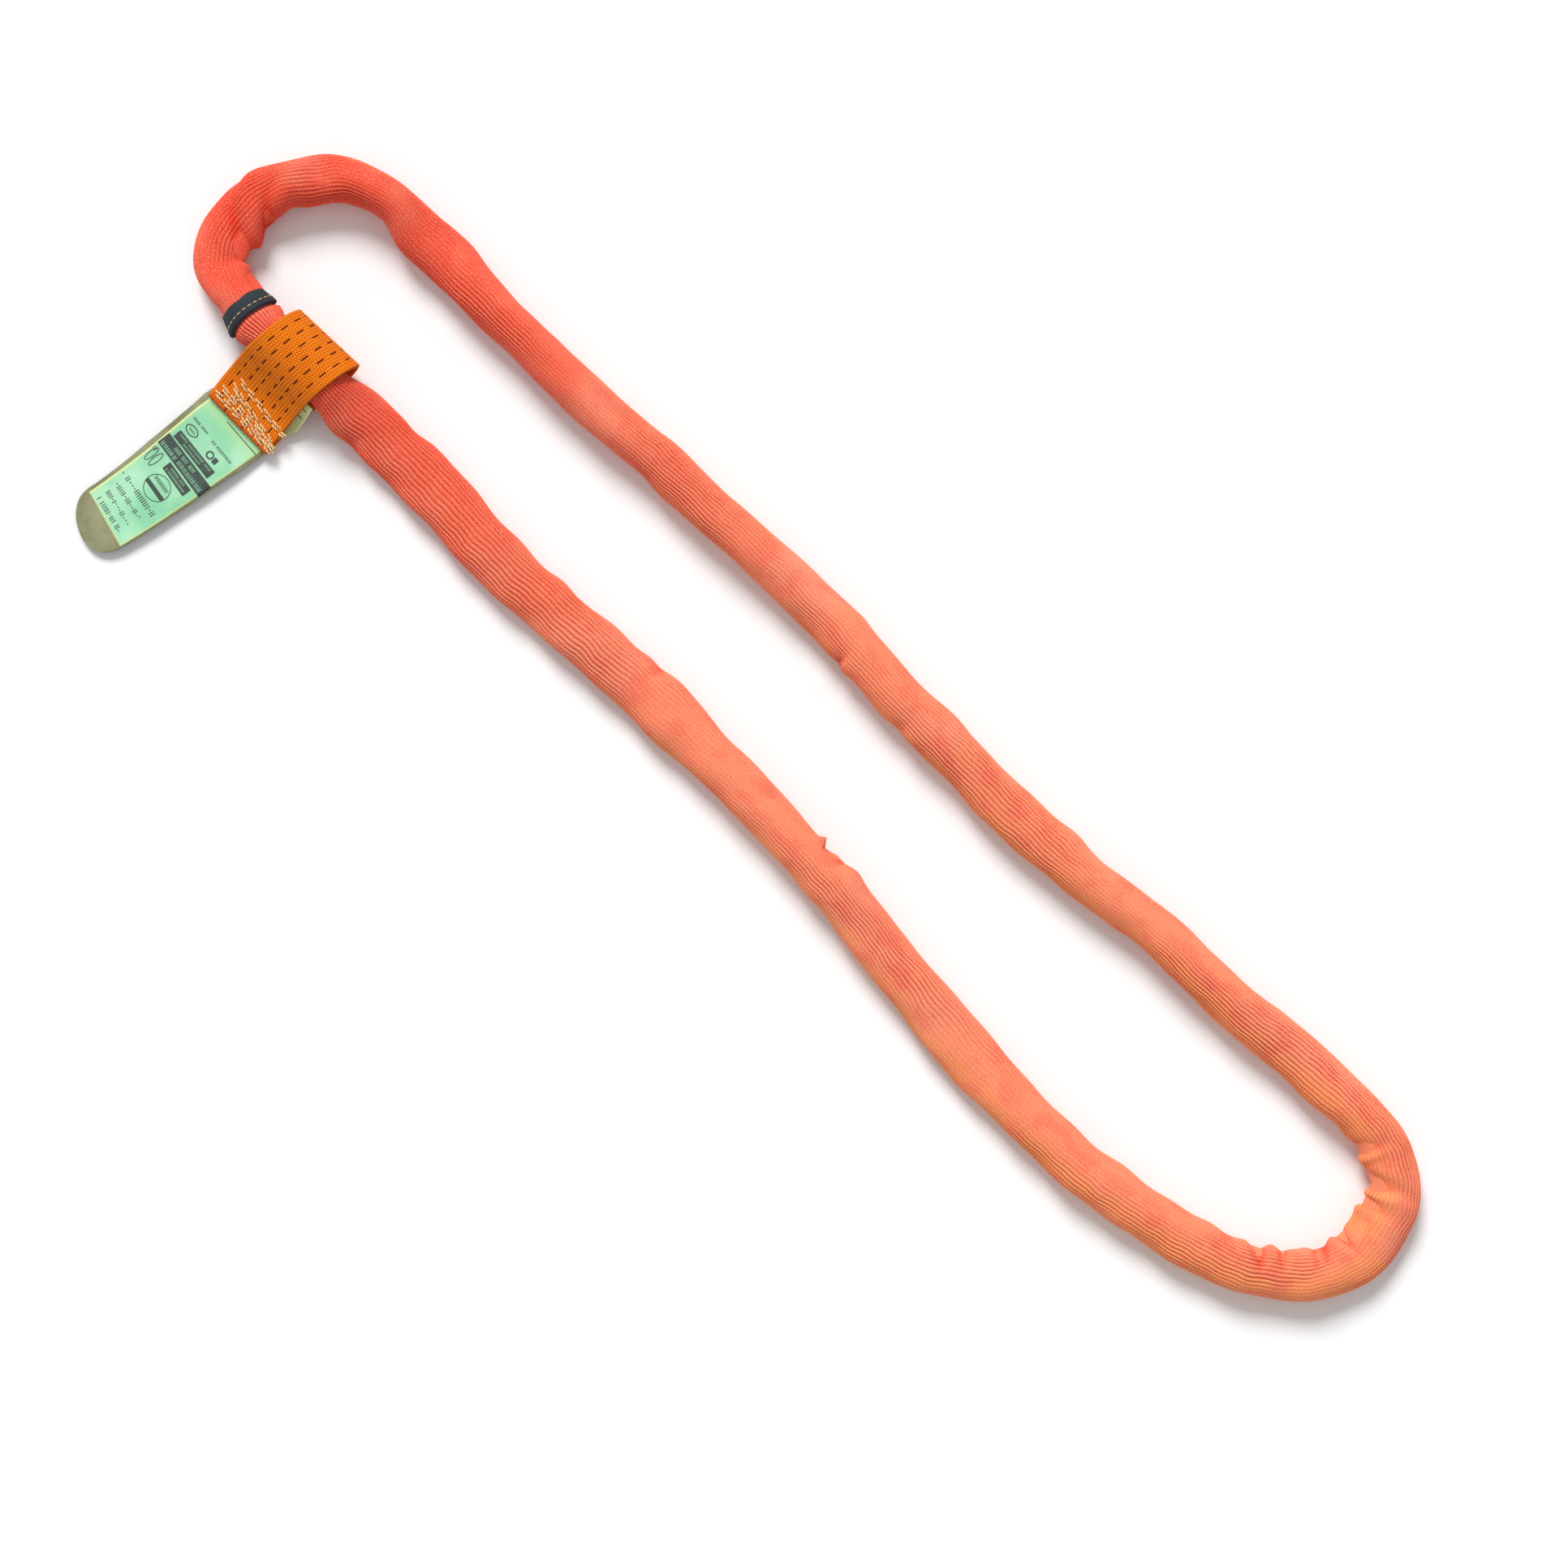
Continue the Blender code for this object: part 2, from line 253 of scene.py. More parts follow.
class Finish:
    """A material, built node by node on its Principled shader."""

    def __init__(self, name, **constants):
        self.material = bpy.data.materials.new(name)
        self.material.use_nodes = True
        self.tree = self.material.node_tree
        self.shader = self.tree.nodes["Principled BSDF"]
        self.set(**constants)

    def node(self, kind, settings=None, inputs=(), output=0):
        """A node's output: its settings are set first, then its inputs, by place or by name."""
        made = self.tree.nodes.new(kind)
        for key, value in (settings or {}).items():
            setattr(made, key, value)
        for key, value in inputs.items() if isinstance(inputs, dict) else enumerate(inputs):
            self.feed(made.inputs[key], value)
        return Value(self, made.outputs[output])

    def feed(self, socket, value):
        """Links a Value, or sets a number or a colour of three 0 to 255 values."""
        if isinstance(value, Value):
            self.tree.links.new(value.socket, socket)
        else:
            socket.default_value = srgb(*value) if isinstance(value, tuple) else value

    def set(self, **inputs):
        """Feeds the shader: base_color goes to Base Color, and so on."""
        for key, value in inputs.items():
            name = "Specular IOR Level" if key == "specular" else key.replace("_", " ").title()
            self.feed(self.shader.inputs[name], value)
        return self

    def parts(self, vector):
        """The x and the y of a vector."""
        inputs = (vector,)
        return [self.node("ShaderNodeSeparateXYZ", None, inputs, axis) for axis in (0, 1)]

    def uv(self):
        """The surface's own two coordinates."""
        return self.parts(self.node("ShaderNodeUVMap", {"uv_map": "UVMap"}))

    def place(self):
        """The point on the object."""
        return self.node("ShaderNodeTexCoord", output="Object")

    def field(self, name):
        """An attribute kept on the mesh's points."""
        return self.node("ShaderNodeAttribute", {"attribute_name": name}, output="Fac")

    def vector(self, *parts):
        return self.node("ShaderNodeCombineXYZ", None, parts)

    def noise(self, where, scale, detail=2.0, roughness=0.5):
        inputs = {"Vector": where, "Scale": scale, "Detail": detail, "Roughness": roughness}
        return self.node("ShaderNodeTexNoise", None, inputs)

    def mix(self, first, second, share):
        """A colour between two."""
        return self.node("ShaderNodeMix", {"data_type": "RGBA"}, {0: share, 6: first, 7: second}, 2)

    def bump(self, height, distance, strength):
        inputs = {"Strength": strength, "Distance": distance, "Height": height}
        return self.node("ShaderNodeBump", None, inputs)

    def on(self, *objects):
        for made in objects:
            made.data.materials.clear()
            made.data.materials.append(self.material)


def mottled(name, low, high, scale, detail=3.0, edges=None, grain=0.0, **constants):
    """Two colours in soft patches, and a grain of that height in metres."""
    made = Finish(name, **constants)
    cloud = made.noise(made.place(), scale, detail)
    made.set(base_color=made.mix(low, high, cloud.step(*edges) if edges else cloud))
    if grain:
        made.set(normal=made.bump(cloud, grain, 0.6))
    return made


# ---- camera ----

VIEW_TURN = math.radians(43.0)
VIEW_CENTRE = (13.6, 37.6)
VIEW_WIDTH = 966.0
VIEW_LEVEL = 15.0
LENS, SENSOR = 85.0, 36.0

camera_data = bpy.data.cameras.new("camera")
camera_data.lens, camera_data.sensor_width = LENS, SENSOR
camera = placed("camera", camera_data)
view_from = (*VIEW_CENTRE, VIEW_LEVEL + VIEW_WIDTH * LENS / SENSOR)
camera.location = [x * MM for x in view_from]
camera.rotation_euler = (0, 0, VIEW_TURN)
bpy.context.scene.camera = camera


# ---- the sleeve's route ----

# A station is a section's centre x, y and z, its width and its height.
SHIFT = (1.34, 0.87)
NECK_Y, NECK_Z, NECK = 23.5, 17.7, 29.4
WIDTH_AND_HEIGHT = 57.0


def lying(x, y, width):
    """A section on the table: what it loses in width it gains in height."""
    height = WIDTH_AND_HEIGHT - width
    return (x, y, height / 2, width, height)


def neck(x):
    return (x, NECK_Y, NECK_Z, NECK, NECK)


MOUTH = [
    (-422.5, 23.5, 17, 34.4, 28),
    (-436, 26.2, 16, 27.8, 27),
    (-449, 29.2, 14, 30.5, 26.5),
]
LYING = [                 # x, y and width
    (-459.5, 34, 34), (-467.5, 45.5, 34), (-471, 62, 35), (-470.3, 82, 33), (-463, 98.5, 30),
    (-451, 113.5, 31), (-435, 127, 27), (-412, 134, 25.2), (-374, 131.5, 32), (-329, 129.5, 29),
    (-264, 127.5, 27.5), (-194, 128.5, 28.5), (-119, 130, 28), (-44, 130, 31), (31, 124, 29.5),
    (106, 120.5, 31), (176, 120.5, 30), (246, 126.5, 28.5), (316, 126.5, 30), (371, 130, 31.5),
    (413, 129.5, 28.5), (441.8, 122.3, 31.5), (461.5, 106.5, 34), (468.5, 84.8, 36),
    (468.5, 63, 34), (460.5, 43, 31.5), (445.5, 26.5, 32.5), (423, 12, 31.5), (386, 0.5, 32),
    (331, -9.5, 31.5), (271, -11.5, 31.5), (206, -7, 35), (141, 1.5, 33), (76, 11, 30),
    (1, 17, 30.5), (-74, 19.5, 34), (-149, 18.5, 34.5), (-214, 18.5, 35), (-269, 22.5, 36),
    (-314, 24, 35.5),
]
UNDER_STRAP = [           # and on to the edge of the mouth
    (-343, 23.5, 14.5, 35, 26),
    neck(-353),
    neck(-384),
    neck(-411),
    (-415.5, 23.5, 17.4, 32.6, 28.6),
    (-418.6, 23.5, 17.2, 33.4, 28),
    (-421, 23.6, 17, 31, 24.8),
]
TUCKED = [                # inside the mouth
    (-423.8, 23.8, 17, 29.8, 23.4),
    (-436, 26.2, 16, 22.6, 21),
    (-449, 29.2, 14, 25, 21.5),
]
ON_TABLE = [lying(*each) for each in LYING]
STATIONS = np.array(MOUTH + ON_TABLE + UNDER_STRAP + TUCKED) + [*SHIFT, 0, 0, 0]
STATION_AT = lengths(STATIONS[:, :2])
END = STATION_AT[-1]


def sections(at):
    """Centre, left and size of the sleeve at these distances from its mouth."""
    here = smooth_through(STATIONS, STATION_AT, at)
    ahead = smooth_through(STATIONS, STATION_AT, np.minimum(at + 0.5, END))
    behind = smooth_through(STATIONS, STATION_AT, np.maximum(at - 0.5, 0))
    way = unit((ahead - behind)[:, :2])
    left = np.stack([-way[:, 1], way[:, 0], np.zeros(len(at))], 1)
    return here[:, :3], left, here[:, 3] / 2, here[:, 4] / 2


def oval(at, angles, grow):
    """Points standing grow off the sleeve's oval, which is centre + left a cos + up b sin."""
    centre, left, a, b = sections(at)
    cos, sin = np.cos(angles), np.sin(angles)
    up = np.array([0.0, 0.0, 1.0])
    point = (
        centre[:, None]
        + left[:, None] * (a[:, None] * cos)[..., None]
        + up * (b[:, None] * sin)[..., None]
    )
    out = unit(left[:, None] * (cos / a[:, None])[..., None] + up * (sin / b[:, None])[..., None])
    return point + out * grow[..., None]


def mouth_shear(angles):
    """How far the mouth's edge is drawn along +X: a squared cosine on its left side, a smaller
    cubed one on its right, and a pull back all round, which is all that the top gets."""
    across = np.cos(angles)
    return 3.6 * np.maximum(across, 0) ** 2 + 1.2 * np.maximum(-across, 0) ** 3 - 1.9


def stretch(at, angles):
    """Length along the sleeve's surface for 1 mm of route: 1 - turning x a x cos(angle)."""
    reach = 6.0
    _, _, a, _ = sections(at[:, 0])
    _, before, _, _ = sections(np.maximum(at[:, 0] - reach, 0))
    _, after, _, _ = sections(np.minimum(at[:, 0] + reach, END))
    turning = np.cross(before, after)[:, 2] / (2 * reach)
    return np.clip(1 - (turning * a)[:, None] * np.cos(angles), 0.25, 2.0)


def along_at(x, y):
    """Distance along the route of its nearest point to (x, y), and the angle that faces there."""
    at = np.arange(14.0, END - 60, 1.0)
    centre, left, _, _ = sections(at)
    away = np.array([x, y]) - centre[:, :2]
    best = int(np.argmin(np.linalg.norm(away, axis=1)))
    facing = 0.0 if away[best] @ left[best, :2] > 0 else math.pi
    return at[best], facing


# ---- the knit sleeve ----

RIBS = 36
PER_RIB = 4               # three columns on the rib and one down in the groove
ROWS = 600
LINING_ROWS = 56
LIP_WALL, WALL = 1.15, 2.7
LIP_FADE = 24.0           # how far in the mouth's shear reaches
ROUTE_POINTS = 500
GROOVE = 3 / 4            # where in a rib its groove is
CORE_WIDE, CORE_HIGH = 11.2, 10.2   # half sizes that the sleeve's skin stays outside

# Folds of the sleeve: the (x, y) they start from, depth, how far the valley reaches back and
# forward along the sleeve, the ridge beside it, reach round in radians, and slant, mm along
# for each radian round.
FOLDS = [
    (-447.7, 50.3, 5, 6, 5, 3.2, 2.4, 13),
    (-457, 68, 2.5, 5, 6, 1.4, 1.8, 13),
    (-450, 88, 1.2, 6, 6, 0.6, 1.0, 2),
    (425.6, 115.1, 3.2, 5, 2.4, 2, 1.4, 3),
    (442.5, 104, 10, 4.4, 3.2, 2.8, 1.45, 6),
    (449.5, 94.5, 4, 2.6, 3.2, 2, 1.4, 2.3),
    (454.3, 67.6, 3, 3, 3, 1.6, 1.3, -2),
    (452.5, 55.7, 2.4, 3.4, 4, 1.4, 1.2, 2),
    (447.8, 50.7, 1.8, 3, 3, 1.2, 1.1, 2),
    (433.6, 37.4, 2.4, 3.6, 3.6, 1.4, 1.3, 1),
    (421.6, 27.4, 3, 4, 4, 1.6, 1.5, -2),
    (402, 18, 1.2, 6, 6, 0.8, 0.9, 0),
    (60.5, 25.5, 4.2, 5, 2.2, 3.4, 0.75, 4),
    (74, 26, 2, 4, 4, 0.8, 1.1, 5),
    (-13, 118, 1.8, 4, 3, 0.9, 1.6, -1),
    (40, 112, 1.3, 6, 5, 0.6, 1.4, 3),
    (-90, 36, 1.6, 6, 5, 0.8, 1.4, 4),
    (-160, 36, 1.3, 9, 6, 0.6, 1.3, -4),
    (-180, 112, 1, 10, 8, 0.4, 1.2, 4),
    (-300, 41, 1.2, 8, 6, 0.6, 1.2, 4),
    (-325, 8, 1.6, 7, 6, 0.8, 1.2, -4),
]

# Swellings and hollows of its sides: the (x, y) they face, height and half length along.
SWELLS = [
    (-180.7, 34.1, -2.5, 20), (-71, 42, 2.4, 18), (-125, 37.5, 1.5, 14), (-60.8, 3.1, 1.5, 12),
    (-214, 0, 1.5, 30), (-384, 115, 1.5, 12), (-347, 115, -1.8, 18), (-351, 145.8, 1.5, 14),
    (-174.7, 146.4, 1.5, 16), (-48.4, 115, -1.5, 14), (-18.8, 144.2, 1.5, 9),
    (65.3, 141.3, 2.4, 15), (166, 137.4, 1.8, 13), (234, 113.5, -2, 16), (84.8, 29.5, 2.6, 9),
    (70.6, -3.6, 1.5, 10), (385.3, 118.5, 1.5, 14), (331.3, 9.4, 1.5, 16),
]

# Where the ribs open (positive) or close up: (x, y), half length along and amount.
OPENNESS = [
    (-447, 28, 16, -0.45), (-470, 62, 26, 0.4), (-425, 131, 34, -0.6), (-330, 129, 40, 0.15),
    (120, 120, 150, 0.12), (300, 126, 90, 0.2), (462, 100, 34, 0.35), (430, 18, 26, 0.25),
    (340, -8, 70, -0.35), (180, -4, 70, -0.2), (20, 15, 70, -0.22), (-130, 19, 60, 0.1),
    (-280, 20, 70, 0.4),
]


def waves(at, angles, lumps):
    """A sum of slow waves along and round the sleeve, each with its own length and phase."""
    return sum(
        height * np.sin(TURN * at / long + start) * np.cos(turns * angles + phase)
        for height, long, turns, phase, start in lumps
    )


def random_lumps(count, height, shortest, longest, most_turns):
    """Waves of random height, length, number of turns round, and two phases."""
    return [
        (
            height * draw.uniform(0.5, 1.0),
            draw.uniform(shortest, longest),
            draw.integers(1, most_turns + 1),
            draw.uniform(0, TURN),
            draw.uniform(0, TURN),
        )
        for _ in range(count)
    ]


BULGES = random_lumps(9, 0.42, 38, 130, 3)
LOOSENESS = random_lumps(10, 0.34, 70, 420, 3)
DRIFT = random_lumps(6, 0.07, 60, 520, 1)
SWAY = random_lumps(5, 0.028, 17, 44, 2)


def folds(at, angles):
    """Each fold is a valley across the sleeve with a ridge each side, fading away round it.

    With s the length along the surface from the fold's line, the valley is exp(-|s / reach|^1.5),
    with its own reach before and after the line, and the ridges are bells 2.2 reaches from it,
    the one before it lower where that reach is long.
    Returns the height, and how deep in a valley each point is from 0 to 1, which the knit's colour
    turns into painted shade.
    """
    total = shade = 0.0
    scale = stretch(at, angles)
    for x, y, depth, before, after, ridge, reach, slant in FOLDS:
        middle, facing = along_at(x, y)
        round_it = (angles - facing + math.pi) % TURN - math.pi
        s = (at - middle - slant * np.abs(round_it)) * scale
        fade = np.exp(-((round_it / reach) ** 2))
        valley = np.exp(-(np.abs(np.where(s < 0, s / before, s / after)) ** 1.5))
        later = np.exp(-((s / after - 2.2) ** 2) / 1.2)
        sooner = 2.2 / (before + 2) * np.exp(-((s / before + 2.2) ** 2) / 1.2)
        total = total + (ridge * (later + sooner) - depth * valley) * fade
        shade = np.maximum(shade, valley * fade * min(depth / 3, 1))
    return total, shade


def swells(at, angles):
    """Bells along the sleeve that face one of its sides."""
    total = 0.0
    for x, y, height, half in SWELLS:
        middle, facing = along_at(x, y)
        side = np.clip(np.cos(angles - facing), 0, 1)
        total = total + height * np.exp(-(((at - middle) / half) ** 2)) * side
    return total


def openness(at, angles):
    """How far the ribs stand apart, from 0.1 to 1: slow waves and the zones of OPENNESS."""
    total = 0.52 + waves(at, angles, LOOSENESS)
    for x, y, half, amount in OPENNESS:
        middle, _ = along_at(x, y)
        total = total + amount * np.exp(-(((at - middle) / half) ** 4))
    near_strap = ease(at, END - 330, END - 230)
    return np.clip(total + (1 - total) * near_strap * 0.9, 0.1, 1.0)


def sleeve_rows():
    """Distances along the route, closer together at the bends and the mouth."""
    fine = np.arange(0.0, END, 0.5)
    centre, _, _, _ = sections(fine)
    tight = ease(np.abs(centre[:, 0]), 385, 425)
    lip = np.exp(-(((fine - fine[-1] + 31) / 8) ** 4))
    weight = np.cumsum(1 / (4.2 - 1.9 * tight - 1.3 * lip))
    return np.interp(np.linspace(weight[0], weight[-1], ROWS), weight, fine)


def lip_shift(at, angles):
    """The mouth's shear, fading inwards; the tucked end leans with the lip that it goes under."""
    lean = mouth_shear(angles) - 3.0 * np.cos(angles)
    return mouth_shear(angles) * (1 - ease(at, 0, LIP_FADE)) + lean * ease(at, END - 46, END - 32)


RIB_PROFILE = (-0.05, 0.3, -0.05, -1.05)   # three columns over a rib, then its groove


def knit_sleeve():
    """The sleeve: an oval carried along the route, with a groove between each two ribs.

    Column j is at angle 2 pi j / columns plus a slow drift. Each point moves out of its oval by
    waves, swellings and folds, kept outside the core by a smooth maximum, and every fourth
    column moves in by the groove's depth. The lining is the plain oval a wall's thickness
    inside; both meet round the mouth and the tucked end, which lean with the lip.
    """
    at = sleeve_rows()[:, None]
    columns = RIBS * PER_RIB
    base = np.arange(columns)[None] / columns * TURN
    free = ease(at, 10, 26) * (1 - ease(at, END - 105, END - 85))
    angles = base + (waves(at, base, DRIFT) + waves(at, base, SWAY)) * ease(at, 8, 30)
    loose = openness(at, base)
    crumple, shade = folds(at, angles)
    lift = waves(at, angles, BULGES) + swells(at, angles) + crumple
    _, _, wide, high = sections(at[:, 0])
    beside = np.maximum(wide - CORE_WIDE, 0.4)[:, None] * np.cos(angles) ** 2
    core = -beside - np.maximum(high - CORE_HIGH, 0.2)[:, None] * np.sin(angles) ** 2
    lift = (lift + core + np.sqrt((lift - core) ** 2 + 0.6)) / 2 * free
    fan = ease(at, END - 62, END - 46) * 0.6 - 1.4 * ease(at, END - 33, END - 28)
    groove = np.tile(RIB_PROFILE, RIBS)[None] * (0.12 + 0.76 * loose) * (1 + fan)
    grow = lift + groove * (0.5 + 0.5 * ease(at, 10, 26)) - 0.2
    points = oval(at[:, 0], angles, grow)
    points[..., 0] += lip_shift(at, angles)
    points[..., 2] = np.maximum(points[..., 2], 0.15)
    inner_at = np.linspace(at[0, 0], at[-1, 0], LINING_ROWS)[::-1]
    depth = LIP_WALL + (WALL - LIP_WALL) * ease(inner_at, 6, 16)[:, None]
    lining = oval(inner_at, base, -depth)
    lining[..., 0] += lip_shift(inner_at[:, None], base)
    rows = np.concatenate([points, lining])
    along = np.concatenate([at[:, 0], inner_at, at[:1, 0]])
    ribs = np.arange(columns + 1) / PER_RIB
    uv = spread(ribs[None], along[:, None])
    level = np.zeros(lining.shape[:2])
    _, left, _, _ = sections(at[:, 0])
    # How far each point faces -y: that side of each leg gets a painted warm light in the knit's
    # colour.
    lower = np.cos(angles) * -np.sign(left[:, 1:2])
    fields = {
        "open": np.concatenate([loose, level + 0.3]),
        # The valleys' depth, for the painted shade in the creases.
        "fold": np.concatenate([shade * free, level]),
        "painted_warm_side": np.concatenate([lower, level]),
    }
    made = surface("knit_sleeve", rows, uv, ring=True, loop=True, fields=fields)
    centre, _, _, _ = sections(np.linspace(0, END, ROUTE_POINTS))
    return made, centre * MM


sleeve, sleeve_line = knit_sleeve()
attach(sleeve, "sling")
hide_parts("jacket")


def knit_finish():
    """Coral knit turning orange along the loop: salmon crests, speckle, painted shade in broken
    groove lines and creases, painted warm light on one side.
    """
    knit = Finish("knit_orange", roughness=0.88, specular=0.15, sheen_weight=0.12)
    rib, along = knit.uv()
    where = knit.place()
    x, _ = knit.parts(where)
    to_groove = rib.off(GROOVE)
    to_crest = rib.off(GROOVE - 0.5)
    stitch = ((along / 1.5 + to_crest * 1.2) * TURN).sin() * 0.5 + 0.5
    loose, fold, lower = knit.field("open"), knit.field("fold"), knit.field("painted_warm_side")
    patches = knit.noise(where, 18.0, 3.0)
    clouds = knit.noise(knit.vector(rib * 0.22, along * 0.05, 0.0), 1.0)
    speckle = knit.noise(knit.vector(rib * 2.6, along * 1.1, 0.0), 1.0, 3.0, 0.8)
    breaks = knit.noise(knit.vector((rib + 0.25).floor() * 7.3, along * 0.16, 0.0), 1.0, 2.0, 0.7)
    colour = knit.mix((238, 76, 52), (252, 136, 100), (x * 2.2 + 0.95).step(0, 1))
    colour = knit.mix(colour, (248, 146, 118), patches.step(0.42, 0.68) * 0.45)
    # Painted warm light: an orange tint on the side of each leg facing -y, stronger towards +x and
    # in the clouds.
    painted_warm_light = (lower * 0.9 + x * 1.6 + clouds * 0.9).step(0.9, 1.6)
    colour = knit.mix(colour, (252, 150, 84), painted_warm_light * 0.6)
    colour = knit.mix(colour, (240, 92, 76), clouds.step(0.52, 0.36) * 0.35)
    colour = knit.mix(colour, (255, 190, 152), speckle.step(0.50, 0.74) * 0.75)
    colour = knit.mix(colour, (196, 42, 22), speckle.step(0.47, 0.26) * 0.8)
    # Painted shade in the creases of the folds, a deep red.
    colour = knit.mix(colour, (226, 48, 26), fold.step(0.1, 0.75) * 0.8)
    # Painted shade along the rib grooves, stronger where the ribs stand open and broken up by noise.
    line = to_groove.step(0.20, 0.05) * (loose * 0.9 + 0.1).least(1.0)
    painted_groove_shade = line * (breaks.step(0.25, 0.6) * 0.6 + 0.4)
    colour = knit.mix(colour, (158, 26, 14), painted_groove_shade * 0.7)
    height = stitch * 0.25 + speckle * 0.5 - painted_groove_shade * 0.5
    return knit.set(base_color=colour, normal=knit.bump(height, 0.0006, 0.6))


knit_finish().on(sleeve)


# ---- the binding at the mouth ----


def mouth_ring(depth, grow, angles):
    """A ring on the outer sleeve, depth mm in from its mouth, standing grow off its oval."""
    inside = max(depth, 0.0)
    points = oval(np.array([inside]), angles[None], np.array([[grow]]))
    points[0, :, 0] += mouth_shear(angles) * (1 - ease(inside, 0, LIP_FADE)) - min(depth, 0.0)
    return points[0]


def binding_band():
    """Black tape folded over the mouth: its profile, outside then round the lip and back in."""
    profile = [
        (10.9, 0.2), (11.1, 0.7), (10.6, 1.15), (8, 1.35), (4.8, 1.3), (2.2, 1.35), (0.2, 1.25),
        (-0.9, 0.8), (-1.2, 0), (-1, -0.8), (0, -1.5), (2.5, -1.75), (6, -1.8), (6, -1.4),
        (2.5, -1.35), (0.6, -1.25), (0.3, -0.5), (0.6, 0.15), (6, 0.2),
    ]
    columns = 120
    angles = np.arange(columns) / columns * TURN
    ripple = 0.35 * np.sin(3 * angles + 0.6) + 0.22 * np.sin(7 * angles)
    rings = []
    for depth, grow in profile:
        ring = mouth_ring(depth, grow, angles)
        ring[:, 0] -= ripple * ease(depth, 6, 11)
        rings.append(ring)
    along = lengths(np.array(profile + profile[:1]))
    uv = spread(np.arange(columns + 1) / columns * 100, along[:, None])
    return surface("binding_band", rings, uv, ring=True, loop=True, flip=True)


band = binding_band()
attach(band, "sling")
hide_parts("binding_tape")


def binding_stitches():
    """A line of short stitches round the tape, each one an arc that dips at both ends."""
    count, points = 26, 7
    rise = 1.25 + 0.35 * np.sin(np.linspace(0, math.pi, points))
    lines = []
    for k in range(count):
        angles = (k + np.linspace(0.06, 0.80, points)) / count * TURN
        line = [mouth_ring(3.1, grow, angles[i : i + 1])[0] for i, grow in enumerate(rise)]
        lines.append(np.array(line))
    return strands("binding_stitches", lines, 0.32, 6)


stitch_ring = binding_stitches()
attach(stitch_ring, "sling")
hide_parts("binding_thread")


def tape_finish():
    """Black tape with a slanting twill and some dust."""
    tape = Finish("binding_black", roughness=0.8, specular=0.15)
    u, v = tape.uv()
    twill = ((u * 1.3 + v * 1.1) * TURN).sin() * 0.5 + 0.5
    dust = tape.noise(tape.place(), 260.0, 3.0)
    colour = tape.mix((34, 40, 46), (66, 75, 82), twill * 0.5 + dust * 0.4)
    return tape.set(base_color=colour, normal=tape.bump(twill + dust, 0.0002, 0.5))


tape_finish().on(band)


# ---- the webbing strap ----

SWIVEL = np.array([SHIFT[0], SHIFT[1] + NECK_Y, NECK_Z])
TAB_X, TAB_END = -386.6, -54.8
WEB_WIDTH, WEB_THICK = 51.0, 2.4
SKEW = math.radians(2.9)
WEFT, WARP = 1.7, 2.1     # pitch of the webbing's ridges and of its columns, mm
DASH_PITCH, DASH_LONG = 9.4, 4.8
DASH_COLUMN, DASH_FIRST, DASH_COLUMNS = 7.5, -18.8, 6


def strap_stations():
    """The strap's inner face from its lower cut end to its upper one: x, y, z and skew."""
    stations = [
        (TAB_X, TAB_END, -13.9, 1.0),
        (TAB_X, -44.0, -13.9, 0.5),
        (TAB_X, -32.0, -13.9, 0.0),
        (-385.0, -20.0, -15.3, 0.0),
    ]
    # Round the sleeve it is an oval, from right under it to well over its far side.
    steps, start, sweep = 12, -90, 232
    wide, high = 18.7, 15.75
    for share in np.linspace(0, 1, steps):
        angle = math.radians(start + sweep * share)
        lean = 6.0 * max(share - 0.5, 0) * 2
        x = -382.0 + 2.5 * math.sin(math.pi * min(share, 0.5)) - lean
        stations.append((x, 2.6 + wide * math.cos(angle), 0.45 + high * math.sin(angle), 0.0))
    stations += [
        (-386.9, -20.5, 0.6, 0.0),
        (-387.8, -31.5, -8.6, 0.1),
        (-387.6, -42.0, -11.2, 0.5),
        (TAB_X, TAB_END, -12.6, 1.0),
    ]
    return np.array(stations)


def strap_line():
    """The inner face's line at an even spacing, and the direction out of it."""
    spacing = 0.43
    stations = strap_stations()
    knots = lengths(stations[:, 1:3])
    at = np.linspace(0, knots[-1], int(knots[-1] / spacing))
    line = smooth_through(stations, knots, at)
    way = unit(np.gradient(line[:, 1:3], at, axis=0))
    out = np.stack([np.zeros(len(at)), way[:, 1], -way[:, 0]], 1)
    return at, line, out


def weave(u, v):
    """Height of the webbing's face: rounded ridges, every second column half a ridge along."""
    column = np.floor(u / WARP)
    ridge = np.sin(TURN * (v / WEFT + 0.5 * (column % 2)))
    between = np.abs((u / WARP) % 1 - 0.5) * 2
    worn = 1 + 0.25 * np.sin(u * 0.9 + v * 0.13) + 0.2 * np.sin(v * 0.41 - u * 0.23)
    return (0.17 * ridge * (1 - between**4) - 0.14 * between**6) * worn


def dashes(u, v):
    """1 on the dark binder threads: short strokes in columns, each second column shifted."""
    column = np.round((u - DASH_FIRST) / DASH_COLUMN)
    across = np.abs(u - DASH_FIRST - column * DASH_COLUMN)
    along = ((v / DASH_PITCH + 0.5 * (column % 2)) % 1) * DASH_PITCH
    inside = (across < 0.45) & (along < DASH_LONG) & (column >= 0) & (column < DASH_COLUMNS)
    return inside.astype(float)


def strap_point(u, line, out, lift):
    """A point u mm across the strap and lift mm off its inner face, for each place along it."""
    slope = np.tan(SKEW * line[:, 3])[:, None]
    x = line[:, :1] + u
    y = line[:, 1:2] - u * slope + out[:, 1:2] * lift
    z = line[:, 2:3] + out[:, 2:3] * lift + 0 * u
    return np.stack(np.broadcast_arrays(x, y, z), -1) + SWIVEL


